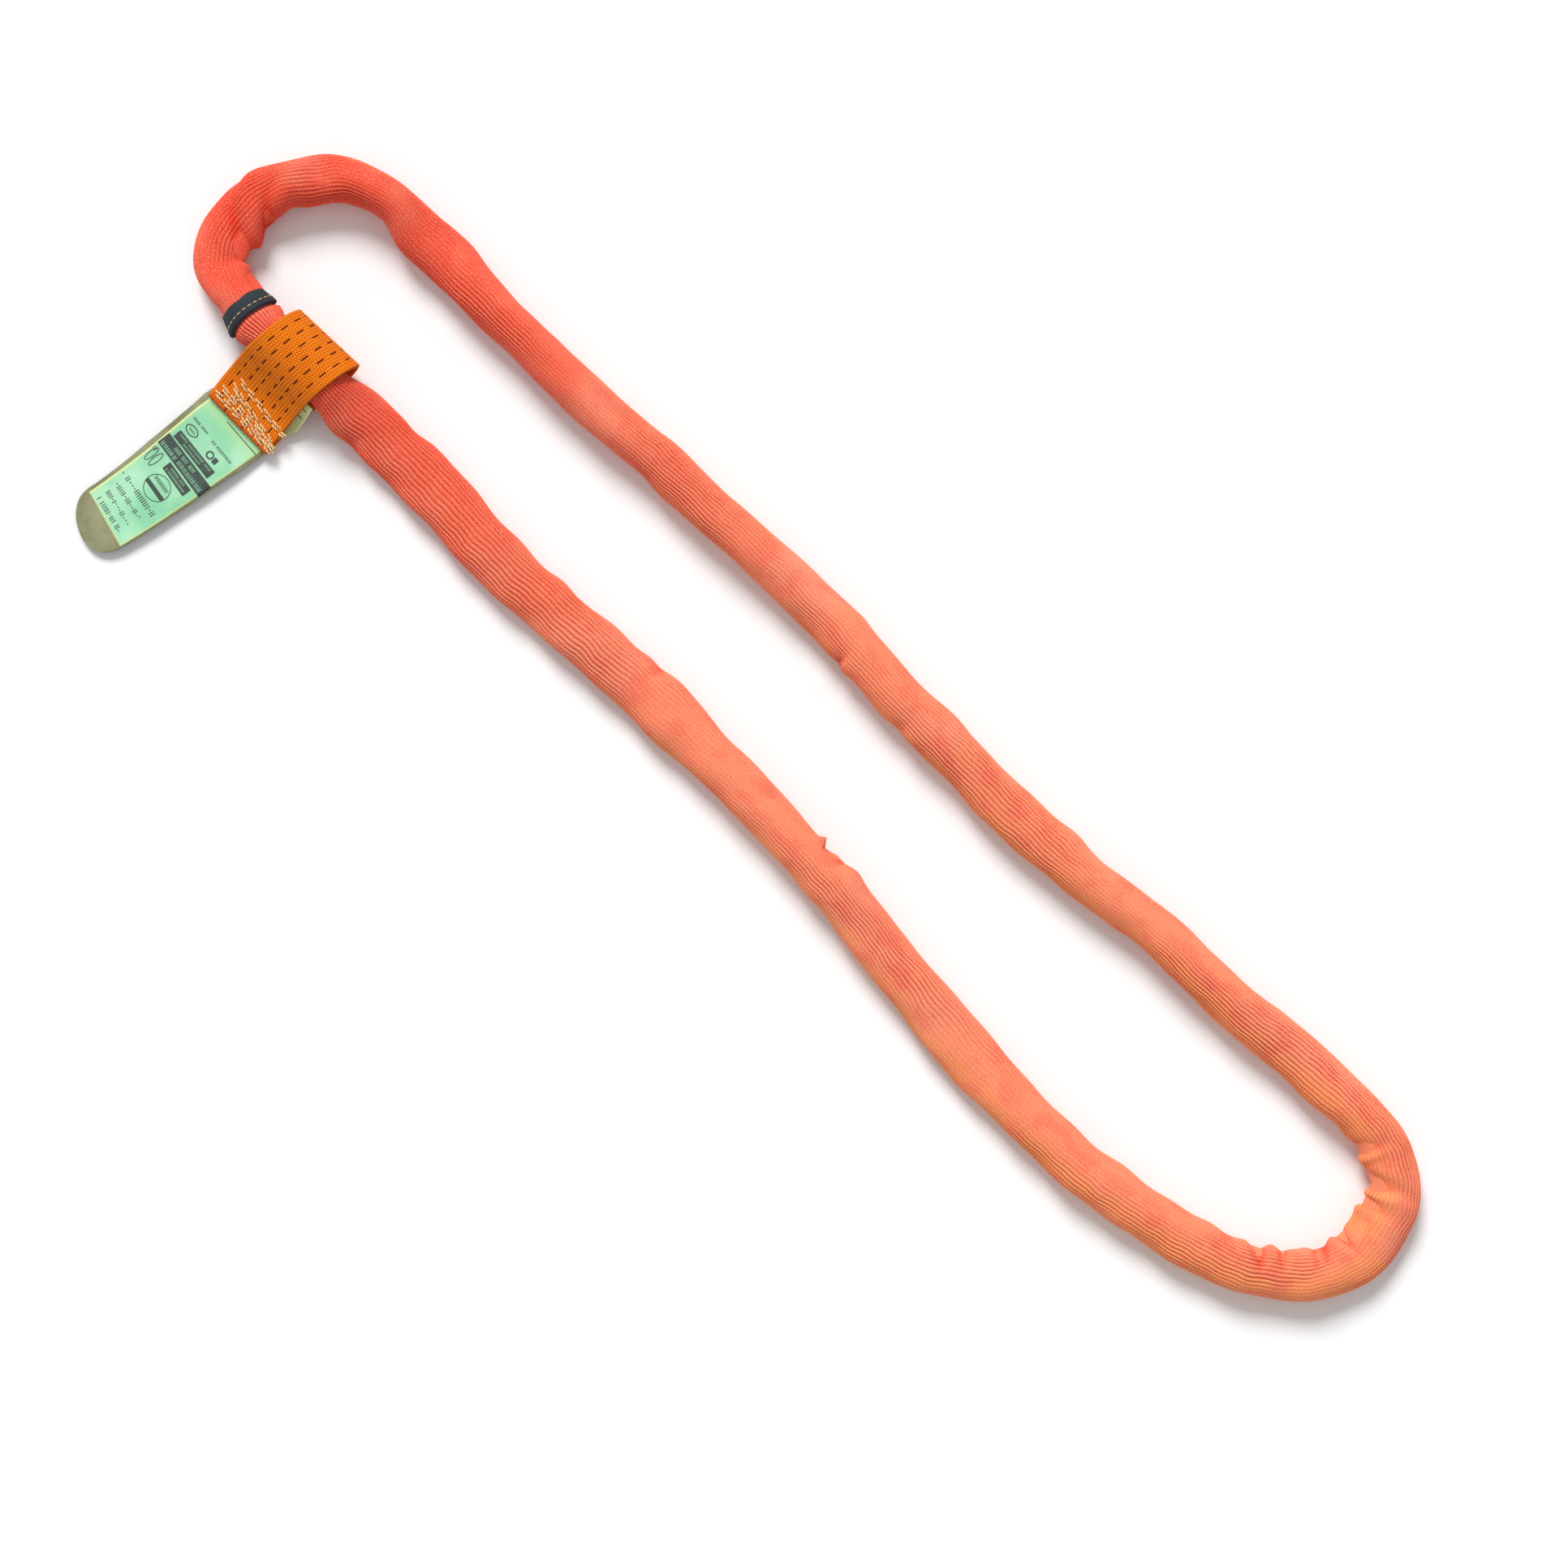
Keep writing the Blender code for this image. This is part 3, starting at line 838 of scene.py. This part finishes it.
def webbing():
    """The strap: a flat ring of points, outer face, edge, inner face, edge, along its line."""
    at, line, out = strap_line()
    half = WEB_WIDTH / 2
    fine, coarse = 116, 30
    flat, side = half - 0.7, half - 0.1
    outer, inner = np.linspace(-flat, flat, fine), np.linspace(flat, -flat, coarse)
    u = np.concatenate([outer, [side, side], inner, [-side, -side]])
    edge_base = WEB_THICK * np.array([0.72, 0.28])
    base = np.concatenate([np.full(fine, WEB_THICK), edge_base, np.zeros(coarse), edge_base[::-1]])
    face = np.concatenate([np.ones(fine), np.zeros(coarse + 4)])
    u, base, face = u[None], base[None], face[None]
    v = at[:, None]
    lift = base + face * (weave(u, v) - 0.30 * dashes(u, v))
    edge = np.exp(-(((np.abs(u) - half + 2.2) / 0.9) ** 2))
    lift = lift + 0.12 * edge * face
    melt = 1 - ease(np.minimum(v, at[-1] - v), 0.0, 1.3)
    lump = 0.30 * np.sin(u * 1.9 + 0.4) + 0.22 * np.sin(u * 4.3 + 1.0)
    lift = lift + face * melt * (0.25 + lump * 0.6)
    points = strap_point(u, line, out, lift)
    points[..., 1] -= melt * lump * 0.9
    points[..., 2] = np.maximum(points[..., 2], 0.1)
    uv = spread(np.concatenate([u, u[:, :1]], axis=1), v)
    burnt = np.broadcast_to(np.exp(-np.minimum(v, at[-1] - v) / 1.6), points.shape[:2])
    fields = {"burnt": burnt}
    return surface("strap_webbing", points, uv, fields, ring=True, caps=True, flip=True)


strap = webbing()
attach(strap, "label_strap")
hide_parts("label_strap")
strap_length = float(strap_line()[0][-1]) * MM


def webbing_finish():
    """Orange webbing: ridges lit by a painted highlight and random yarn tone, painted shade in the
    gaps, dark binder strokes and a burnt cut end.
    """
    web = Finish("webbing_orange", roughness=0.75, specular=0.12, sheen_weight=0.05)
    u, v = web.uv()
    column = (u / WARP).floor()
    ridge = ((v / WEFT + column * 0.5) * TURN).sin() * 0.5 + 0.5
    gap = ((u / WARP).fract() - 0.5).size() * 2
    yarn = web.noise(web.vector(u * 3.0, v * 0.8, 0.0), 1.0, 2.0, 0.6)
    patches = web.noise(web.place(), 70.0)
    # Painted highlight on the ridge crests, mixed with random yarn tone.
    light = (ridge * 0.6 + yarn * 0.8).step(0.15, 1.15)
    colour = web.mix((196, 72, 0), (255, 152, 20), light)
    colour = web.mix(colour, (222, 96, 2), patches * 0.5)
    # Painted shade in the gaps between the columns.
    colour = web.mix(colour, (150, 50, 0), gap.step(0.66, 1.0) * 0.7)
    stroke_column = ((u - DASH_FIRST) / DASH_COLUMN + 0.5).floor()
    across = (u - DASH_FIRST - stroke_column * DASH_COLUMN).size()
    along = (v / DASH_PITCH + stroke_column * 0.5).fract() * DASH_PITCH
    stroke = across.step(0.62, 0.38) * along.step(DASH_LONG, DASH_LONG - 0.4)
    stroke = stroke * stroke_column.above(-0.5) * (1 - stroke_column.above(DASH_COLUMNS - 0.5))
    colour = web.mix(colour, (70, 16, 8), stroke * 0.95)
    colour = web.mix(colour, (176, 54, 2), web.field("burnt"))
    height = ridge * 0.4 + yarn * 0.5 - stroke * 0.4
    return web.set(base_color=colour, normal=web.bump(height, 0.0004, 0.6))


webbing_finish().on(strap)


# ---- sewing on the tab ----

ROW_ENDS = [
    ((-402.5, -9), (-359, -16.3)),
    ((-405.5, -13.8), (-359, -25)),
    ((-408.5, -19.6), (-359, -26.4)),
    ((-409.5, -24.6), (-358.5, -29)),
]


def tab_height(y):
    """Height of the strap's upper face over the table at these y."""
    at, line, out = strap_line()
    top = line[:, 1:3] + out[:, 1:3] * WEB_THICK + SWIVEL[1:]
    upper = at > at[-1] * 0.72
    order = np.argsort(top[upper, 0])
    return np.interp(y, top[upper, 0][order], top[upper, 1][order])


def resting(flat, rise):
    """Points over the tab at these (x, y), rise mm above its face."""
    return np.column_stack([flat, tab_height(flat[:, 1]) + rise])


def stitch_row(start, end, number, link_to=None):
    """Two runs of thick stitches side by side; each rises from the webbing and dips back in.

    Their lengths, gaps and leans are random, so no two match. Where a row links to another,
    short strands cross from one to the other.
    """
    run_offset, thick, thin, links_per_row = 0.95, 0.64, 0.54, 5
    start, end = np.array(start), np.array(end)
    way = unit(end - start)
    side = np.array([-way[1], way[0]])
    total = np.linalg.norm(end - start)
    lines = []
    for run, offset in ((0, run_offset), (1, -run_offset)):
        place = draw.uniform(-1.0, 1.5) + 2.6 * run
        while place < total - 2:
            long = draw.uniform(5.6, 8.4)
            stop = min(place + long, total + draw.uniform(0.5, 2.6))
            t = np.linspace(0, 1, 11)
            lean = draw.uniform(-0.7, 0.7)
            across = offset + lean * (t - 0.5) * 2
            flat = start + way * (place + (stop - place) * t)[:, None] + side * across[:, None]
            lines.append(resting(flat, 0.75 * np.sin(math.pi * t) ** 0.6 - 0.3))
            place = stop + draw.uniform(0.3, 1.1)
    links = []
    if link_to is not None:
        other, other_end = np.array(link_to[0]), np.array(link_to[1])
        for k in range(links_per_row):
            share = (k + draw.uniform(0.3, 0.9)) / links_per_row
            near = start + (end - start) * share
            far = other + (other_end - other) * min(share + draw.uniform(-0.05, 0.09), 1)
            t = np.linspace(-0.08, 1.08, 9)
            flat = near + (far - near) * t[:, None]
            links.append(resting(flat, 0.9 * np.sin(math.pi * np.linspace(0, 1, 9)) ** 0.6 - 0.3))
    radii = [thick] * len(lines) + [thin] * len(links)
    return strands(f"stitch_row_{number}", lines + links, radii)


stitch_rows = []
for number, (start, end) in enumerate(ROW_ENDS, start=1):
    below = ROW_ENDS[number] if number in (2, 3) else None
    row = stitch_row(start, end, number, below)
    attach(row, "label_strap")
    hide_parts(f"needle_thread_{number}")
    stitch_rows.append(row)


def thread_finish():
    """Cream thread laid up from plies that wind round it."""
    thread = Finish("thread_cream", roughness=0.65, specular=0.2, sheen_weight=0.1)
    turn, along = thread.uv()
    ply = ((turn * 2 + along * 0.5) * TURN).sin() * 0.5 + 0.5
    stain = thread.noise(thread.place(), 240.0)
    light = (ply * 0.7 + stain * 0.6).step(0.2, 0.95)
    colour = thread.mix((196, 126, 70), (246, 214, 158), light)
    return thread.set(base_color=colour, normal=thread.bump(ply, 0.0002, 0.7))


thread_finish().on(stitch_ring, *stitch_rows)

mottled(
    "thread_cream_bobbin", (222, 178, 120), (248, 224, 176), 900.0, 2.0,
    grain=0.0002, roughness=0.65,
).on(*(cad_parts[f"bobbin_thread_{k}"] for k in range(1, 5)))


# ---- the label ----

# On the label, a is mm across its middle line and v is mm from its hinge; edges are (v, a).
HINGE = np.array([TAB_X + SHIFT[0], NECK_Y + SHIFT[1] + TAB_END - 3.0, 4.4])
LEFT_EDGE = [
    (-8, -27.5), (0, -28.6), (12, -27.9), (29, -27.3), (48, -27), (68, -25.6), (89, -24.4),
    (97, -24.4),
]
RIGHT_EDGE = [
    (-8, 23.4), (0, 23.6), (14, 22.2), (28, 20.8), (42, 20.2), (64, 19), (82, 18.4), (97, 18),
]
TIP, CAP_START = 114.8, 94.0
DRIFT_SLOPE, DRIFT_CURVE = 0.052, 0.00084


def label_point(a, v, lift):
    """A point of the label at (a, v), lifted off its sheet.

    The middle line drifts sideways as slope v + curve v squared and is turned by the tab's skew.
    The sheet leaves the strap level, sinks towards its tip and has two slow waves across it.
    """
    a, v, lift = np.broadcast_arrays(*(np.asarray(x, float) for x in (a, v, lift)))
    drift = -(DRIFT_SLOPE * v + DRIFT_CURVE * v * v)
    slope = DRIFT_SLOPE + 2 * DRIFT_CURVE * v
    scale = np.sqrt(1 + slope**2)
    x = drift + a / scale
    y = -v - a * slope / scale
    cos, sin = math.cos(SKEW), math.sin(SKEW)
    fall = 3.2 * (1 - ease(v, -6, 52))
    wave = 0.9 * np.sin(v / 15.0 + 0.5) * (a / 24) ** 2 + 0.7 * np.sin(v / 21.0 + a / 17.0 + 2.0)
    wave = (wave + 0.8) * ease(v, -2, 22)
    arch = 4.5 * ease(v, 2, 45) * (1 - 0.6 * ease(v, 65, TIP))
    z = np.maximum(0.9 + fall + wave + arch, 0.6) + lift
    return np.stack([HINGE[0] + x * cos + y * sin, HINGE[1] - x * sin + y * cos, z], -1)


def edge_at(edge, v):
    """The a of an edge given as (v, a) points, with straight lines between them."""
    return np.interp(v, *zip(*edge))


def rows_between(left, right, count):
    """Even places from the left edge to the right, and how far each is from the nearer one."""
    t = np.linspace(0, 1, count)
    wide = (right - left)[:, None]
    return left[:, None] + wide * t, np.minimum(t, 1 - t)[None] * wide


def pouch_edges(v):
    """Left and right edge of the pouch at v; past CAP_START both close in a rounded end."""
    left, right = edge_at(LEFT_EDGE, v), edge_at(RIGHT_EDGE, v)
    middle, half = (left + right) / 2, (right - left) / 2
    into = np.clip((v - CAP_START) / (TIP - CAP_START), 0, 1)
    half = np.maximum(half * (1 - into**2.3) ** (1 / 2.1), 2.0)
    middle = middle + 3.0 * into**2
    return middle - half, middle + half


def pouch_sheet(name, lift, bulge, thickness):
    """A film of the pouch: a grid between its edges, standing bulge off the seam margin."""
    v = np.concatenate([np.linspace(-7.0, CAP_START, 80), np.linspace(CAP_START, TIP, 26)[1:]])
    a, margin = rows_between(*pouch_edges(v), 41)
    puff = bulge * ease(margin, 0.6, 4.5) * (1 - ease(v, TIP - 9, TIP - 1))[:, None]
    top = label_point(a, v[:, None], lift + puff + thickness)
    bottom = label_point(a, v[:, None], lift + puff)
    return two_sided(name, top, bottom, a, v)


back_film = pouch_sheet("pouch_back", -0.3, 0.0, 0.3)
front_film = pouch_sheet("pouch_front", 0.15, 1.0, 0.15)

CARD_END = 97.5
CARD_LEFT = [
    (-6, -23.6), (0, -24.3), (8, -24.8), (35, -24), (60, -23.2), (98, -21.9),
]
CARD_RIGHT = [
    (-6, 21.2), (0, 21.5), (10, 20.7), (30, 19.3), (60, 18.2), (98, 17.4),
]
CARD_LIFT, CARD_THICK = 0.45, 0.25
DARK_LIFT, PALE_LIFT, INK_THICK = CARD_LIFT + 0.1, CARD_LIFT + 0.2, 0.06


def card():
    """The printed card, cut straight across its far end; across it the UVs hold the inset."""
    v = np.linspace(-6.0, CARD_END, 90)
    a, inset = rows_between(edge_at(CARD_LEFT, v), edge_at(CARD_RIGHT, v), 33)
    tilt = 0.035 * a * ease(v, 60, CARD_END)[:, None]
    top = label_point(a, v[:, None] + tilt, CARD_LIFT)
    bottom = label_point(a, v[:, None] + tilt, CARD_LIFT - CARD_THICK)
    return two_sided("printed_card", top, bottom, inset, v)


printed_card = card()


def patch(a0, a1, v0, v1, lift=DARK_LIFT, lean=0.0, steps=8):
    """A thin closed slab on the card between a0 and a1 and between v0 and v1."""
    a = np.linspace(a0, a1, steps)
    v = np.linspace(v0, v1, 3)[:, None] + lean * (a - a0)[None]
    top = label_point(a[None], v, lift)
    bottom = label_point(a[None], v, lift - INK_THICK)
    ring = np.concatenate([top, bottom[:, ::-1]], axis=1)
    return shell(ring, ring=True, caps=True, flip=True)


def printed_oval(a, v, half_a, half_v, wide, count=40):
    """A closed printed line round (a, v), as a low four-sided tube on the card."""
    angle = np.arange(count) / count * TURN
    points = np.stack([a + half_a * np.cos(angle), v + half_v * np.sin(angle)], 1)
    ahead = np.roll(points, -1, 0) - np.roll(points, 1, 0)
    side = unit(np.stack([-ahead[:, 1], ahead[:, 0]], 1)) * wide / 2
    inner, outer = points - side, points + side
    corners = [(inner, 0.0), (outer, 0.0), (outer, INK_THICK), (inner, INK_THICK)]
    ring = np.stack([label_point(p[:, 0], p[:, 1], DARK_LIFT + rise) for p, rise in corners], 1)
    return shell(ring, ring=True, loop=True)


def bars(a0, a1, v0, height, letter, gap, **more):
    """A greeked line of small print: thin upright strokes in pairs, with word gaps."""
    blocks, a, stroke = [], a0, 0.3 * letter
    while a < a1 - letter * 0.5:
        for start in (a, a + letter * draw.uniform(0.5, 0.7)):
            blocks.append(patch(start, start + stroke, v0, v0 + height, steps=3, **more))
        a += letter + gap * (3.0 if draw.uniform() < 0.16 else 1.0)
    return blocks


def dashes_and_strokes(a0, a1, v0, height, letter, thick):
    """A greeked line of large print: upright strokes with a level dash here and there."""
    blocks, a = [], a0
    while a < a1 - thick:
        if draw.uniform() < 0.3:
            level = v0 + (height - thick) * draw.uniform(0.3, 0.7)
            wide = letter * 0.6
            blocks.append(patch(a, a + wide, level, level + thick, steps=3))
        else:
            wide = thick
            blocks.append(patch(a, a + wide, v0, v0 + height, steps=3))
        a += wide + letter * (1.3 if draw.uniform() < 0.12 else draw.uniform(0.3, 0.5))
    return blocks


dark_print = (
    bars(-20.9, -7.3, 13.9, 1.7, 1.1, 0.45)
    + bars(-2.5, 15.6, 14.6, 1.8, 1.2, 0.5)
    + [printed_oval(-15.4, 21.1, 4.6, 2.8, 0.65)]
    + bars(-17.6, -13.2, 20.4, 1.4, 0.9, 0.4)
    + [printed_oval(3.2, 22, 2.2, 2.1, 1), patch(6.4, 9.6, 20.1, 24)]
    + [patch(-20, 13.4, 26.3, 32.4, steps=16)]
    + [patch(-23, 19.2, 33.2, 42.6, lean=0.012, steps=20)]
    + [patch(-8.5, 13, 43.9, 50.1, lean=0.02, steps=10)]
    + [printed_oval(-19.6, 50.2, 1.7, 5.6, 0.5)]
    + [printed_oval(-15.2, 50.2, 1.7, 5.6, 0.5)]
    + [printed_oval(-21, 46.4, 1.1, 1.1, 0.4, 20)]
    + [printed_oval(-0.5, 60, 8.6, 8.2, 0.45)]
    + [patch(-8.6, 7.6, 60.4, 63.2)]
    + bars(-6.6, 5.6, 55.4, 2.4, 1.3, 0.5)
    + dashes_and_strokes(-20.9, 12.1, 69.8, 3.5, 2.3, 0.6)
    + dashes_and_strokes(-17.2, 8.8, 77.6, 3.2, 2.1, 0.55)
    + dashes_and_strokes(-16.2, 9.1, 85, 3.2, 2.2, 0.55)
    + dashes_and_strokes(-15.7, 10.1, 91.8, 3.2, 2.2, 0.55)
    + [patch(-6.1, 21, 0.4, 1, steps=16)]
)
PALE_LINES = [
    (-18, 11, 27.4, 1.4, 1.3, 0.5),
    (-12, 5, 29.9, 1.3, 1.3, 0.5),
    (-13, 6.5, 34.8, 2.6, 2, 0.7),
    (-21.5, 17.5, 38.9, 2.7, 2.2, 0.7),
    (-5, 9, 45.2, 1.5, 1.2, 0.4),
    (-6.8, 11, 47.7, 1.5, 1.2, 0.4),
]
pale_print = [block for line in PALE_LINES for block in bars(*line, lift=PALE_LIFT)]
ink = joined("label_print_dark", dark_print, smooth=False)
ink_pale = joined("label_print_pale", pale_print, smooth=False)

for piece, node, slot in (
    (back_film, "pouch_back_film", "film_tan"),
    (front_film, "pouch_front_film", "film_clear"),
    (printed_card, "label_card", "card_green"),
    (ink, None, "card_green"),
    (ink_pale, None, "card_green"),
):
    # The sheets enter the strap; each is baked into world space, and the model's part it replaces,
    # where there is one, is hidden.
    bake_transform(piece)
    if node:
        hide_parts(node)


def card_finish():
    """Mint card with a pale yellow border and faint mottling."""
    made = Finish("card_green", roughness=0.5, specular=0.2)
    inset, along = made.uv()
    cloud = made.noise(made.place(), 38.0, 3.0)
    colour = made.mix((134, 212, 170), (178, 234, 198), cloud.step(0.3, 0.7))
    colour = made.mix(colour, (190, 226, 150), along.step(10.0, 1.0) * 0.5)
    edge = inset.step(2.0, 0.9).most(along.step(CARD_END - 1.6, CARD_END - 0.6))
    colour = made.mix(colour, (214, 226, 150), edge * 0.85)
    return made.set(base_color=colour)


def film_finish(name, low, high, alpha, roughness):
    """A film with cloudy patches and a few soft creases."""
    made = Finish(name, specular=0.25)
    where = made.place()
    cloud = made.noise(where, 55.0, 4.0, 0.6)
    crease = made.noise(where, 24.0, 1.0)
    made.set(
        base_color=made.mix(low, high, cloud.step(0.3, 0.7)),
        alpha=alpha,
        roughness=cloud * 0.2 + roughness,
        normal=made.bump(crease + cloud * 0.1, 0.002, 0.5),
    )
    return made


card_finish().on(printed_card)
film_finish("film_tan", (118, 112, 78), (150, 146, 112), 1.0, 0.5).on(back_film)
film_finish("film_clear", (214, 226, 176), (226, 234, 196), 0.05, 0.12).on(front_film)
worn = dict(roughness=0.6, specular=0.1)
mottled("print_dark", (14, 30, 44), (36, 66, 84), 420.0, edges=(0.4, 0.75), **worn).on(ink)
mottled("print_pale", (96, 160, 136), (150, 208, 176), 420.0, **worn).on(ink_pale)


# ---- the traceability tag ----

LEAF_X = -380.6


def tag_point(u, s, lift):
    """The tag's leaf: u across, s from 0 at the sewn end to 1 at its free end by the sleeve."""
    profile = np.array([(-53.5, -13.2), (-40, -12.6), (-33, -11.6), (-21, -1.8), (-15.8, 4.2)])
    knots = lengths(profile)
    line = smooth_through(profile, knots, s * knots[-1])
    way = unit(np.gradient(line, axis=0))
    out = np.stack([-way[:, 1], way[:, 0]], 1)
    place = line[:, None] + out[:, None] * np.full(u.shape, lift)[..., None]
    return np.stack([LEAF_X + u, place[..., 0], place[..., 1]], -1) + SWIVEL


def trace_leaf():
    """The leaf as a thin sheet, narrowing a little towards the sewn end."""
    s = np.linspace(0, 1, 40)
    half = 17 + 7 * ease(s, 0.12, 0.5)
    t = np.linspace(-1, 1, 25)
    u = t[None] * half[:, None]
    return two_sided("trace_leaf", tag_point(u, s, 0.2), tag_point(u, s, -0.1), u, s)


leaf = trace_leaf()
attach(leaf, "label_strap")
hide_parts("trace_tag")


def leaf_finish():
    """Pale waxed paper with a light border along one side and two short printed ticks."""
    waxed = Finish("tag_cream", roughness=0.45, specular=0.4)
    u, s = waxed.uv()
    cloud = waxed.noise(waxed.place(), 90.0, 3.0)
    colour = waxed.mix((188, 192, 128), (212, 216, 150), cloud)
    colour = waxed.mix(colour, (232, 232, 180), u.step(22.8, 23.6))
    tick = (s - 0.86).size().step(0.014, 0.006).most((s - 0.70).size().step(0.014, 0.006))
    colour = waxed.mix(colour, (20, 20, 24), tick * (1 - u.step(21.2, 22.0)))
    return waxed.set(base_color=colour)


leaf_finish().on(leaf)


# ---- the core, inside the sleeve ----

mottled(
    "core_yarn", (214, 212, 202), (242, 240, 232), 700.0,
    grain=0.0004, roughness=0.55, sheen_weight=0.3,
).on(*(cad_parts[f"core_hank_{k}"] for k in range(1, 8)))
mottled(
    "core_tape", (214, 196, 146), (234, 220, 178), 300.0, grain=0.0003, roughness=0.5
).on(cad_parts["core_tape"])


# ---- floor and light ----

FLOOR_HALF, FLOOR_LEVEL = 30000.0, -0.3
SUN_POWER, SUN_SPREAD = 2.95, math.radians(24.0)
SUN_TILT, SUN_TURN = math.radians(48.0), math.radians(-122.0)
SKY_COLOUR, SKY_STRENGTH = (0.97, 1.0, 1.0, 1.0), 0.50

floor_corners = [
    (x * FLOOR_HALF, y * FLOOR_HALF, FLOOR_LEVEL) for x, y in ((-1, -1), (1, -1), (1, 1), (-1, 1))
]
floor = put("floor", floor_corners, [[0, 1, 2, 3]], smooth=False)
mottled(
    "floor_white", (246, 246, 246), (250, 250, 250), 3.0, 1.0, roughness=0.9, specular=0.1
).on(floor)

sun_data = bpy.data.lights.new("key", "SUN")
sun_data.energy, sun_data.angle = SUN_POWER, SUN_SPREAD
sun = placed("key", sun_data)
sun.rotation_euler = (SUN_TILT, 0.0, SUN_TURN)
world = bpy.data.worlds.new("studio")
world.use_nodes = True
sky = world.node_tree.nodes["Background"]
sky.inputs["Color"].default_value = SKY_COLOUR
sky.inputs["Strength"].default_value = SKY_STRENGTH
bpy.context.scene.world = world
bpy.context.scene.view_settings.view_transform = "Standard"
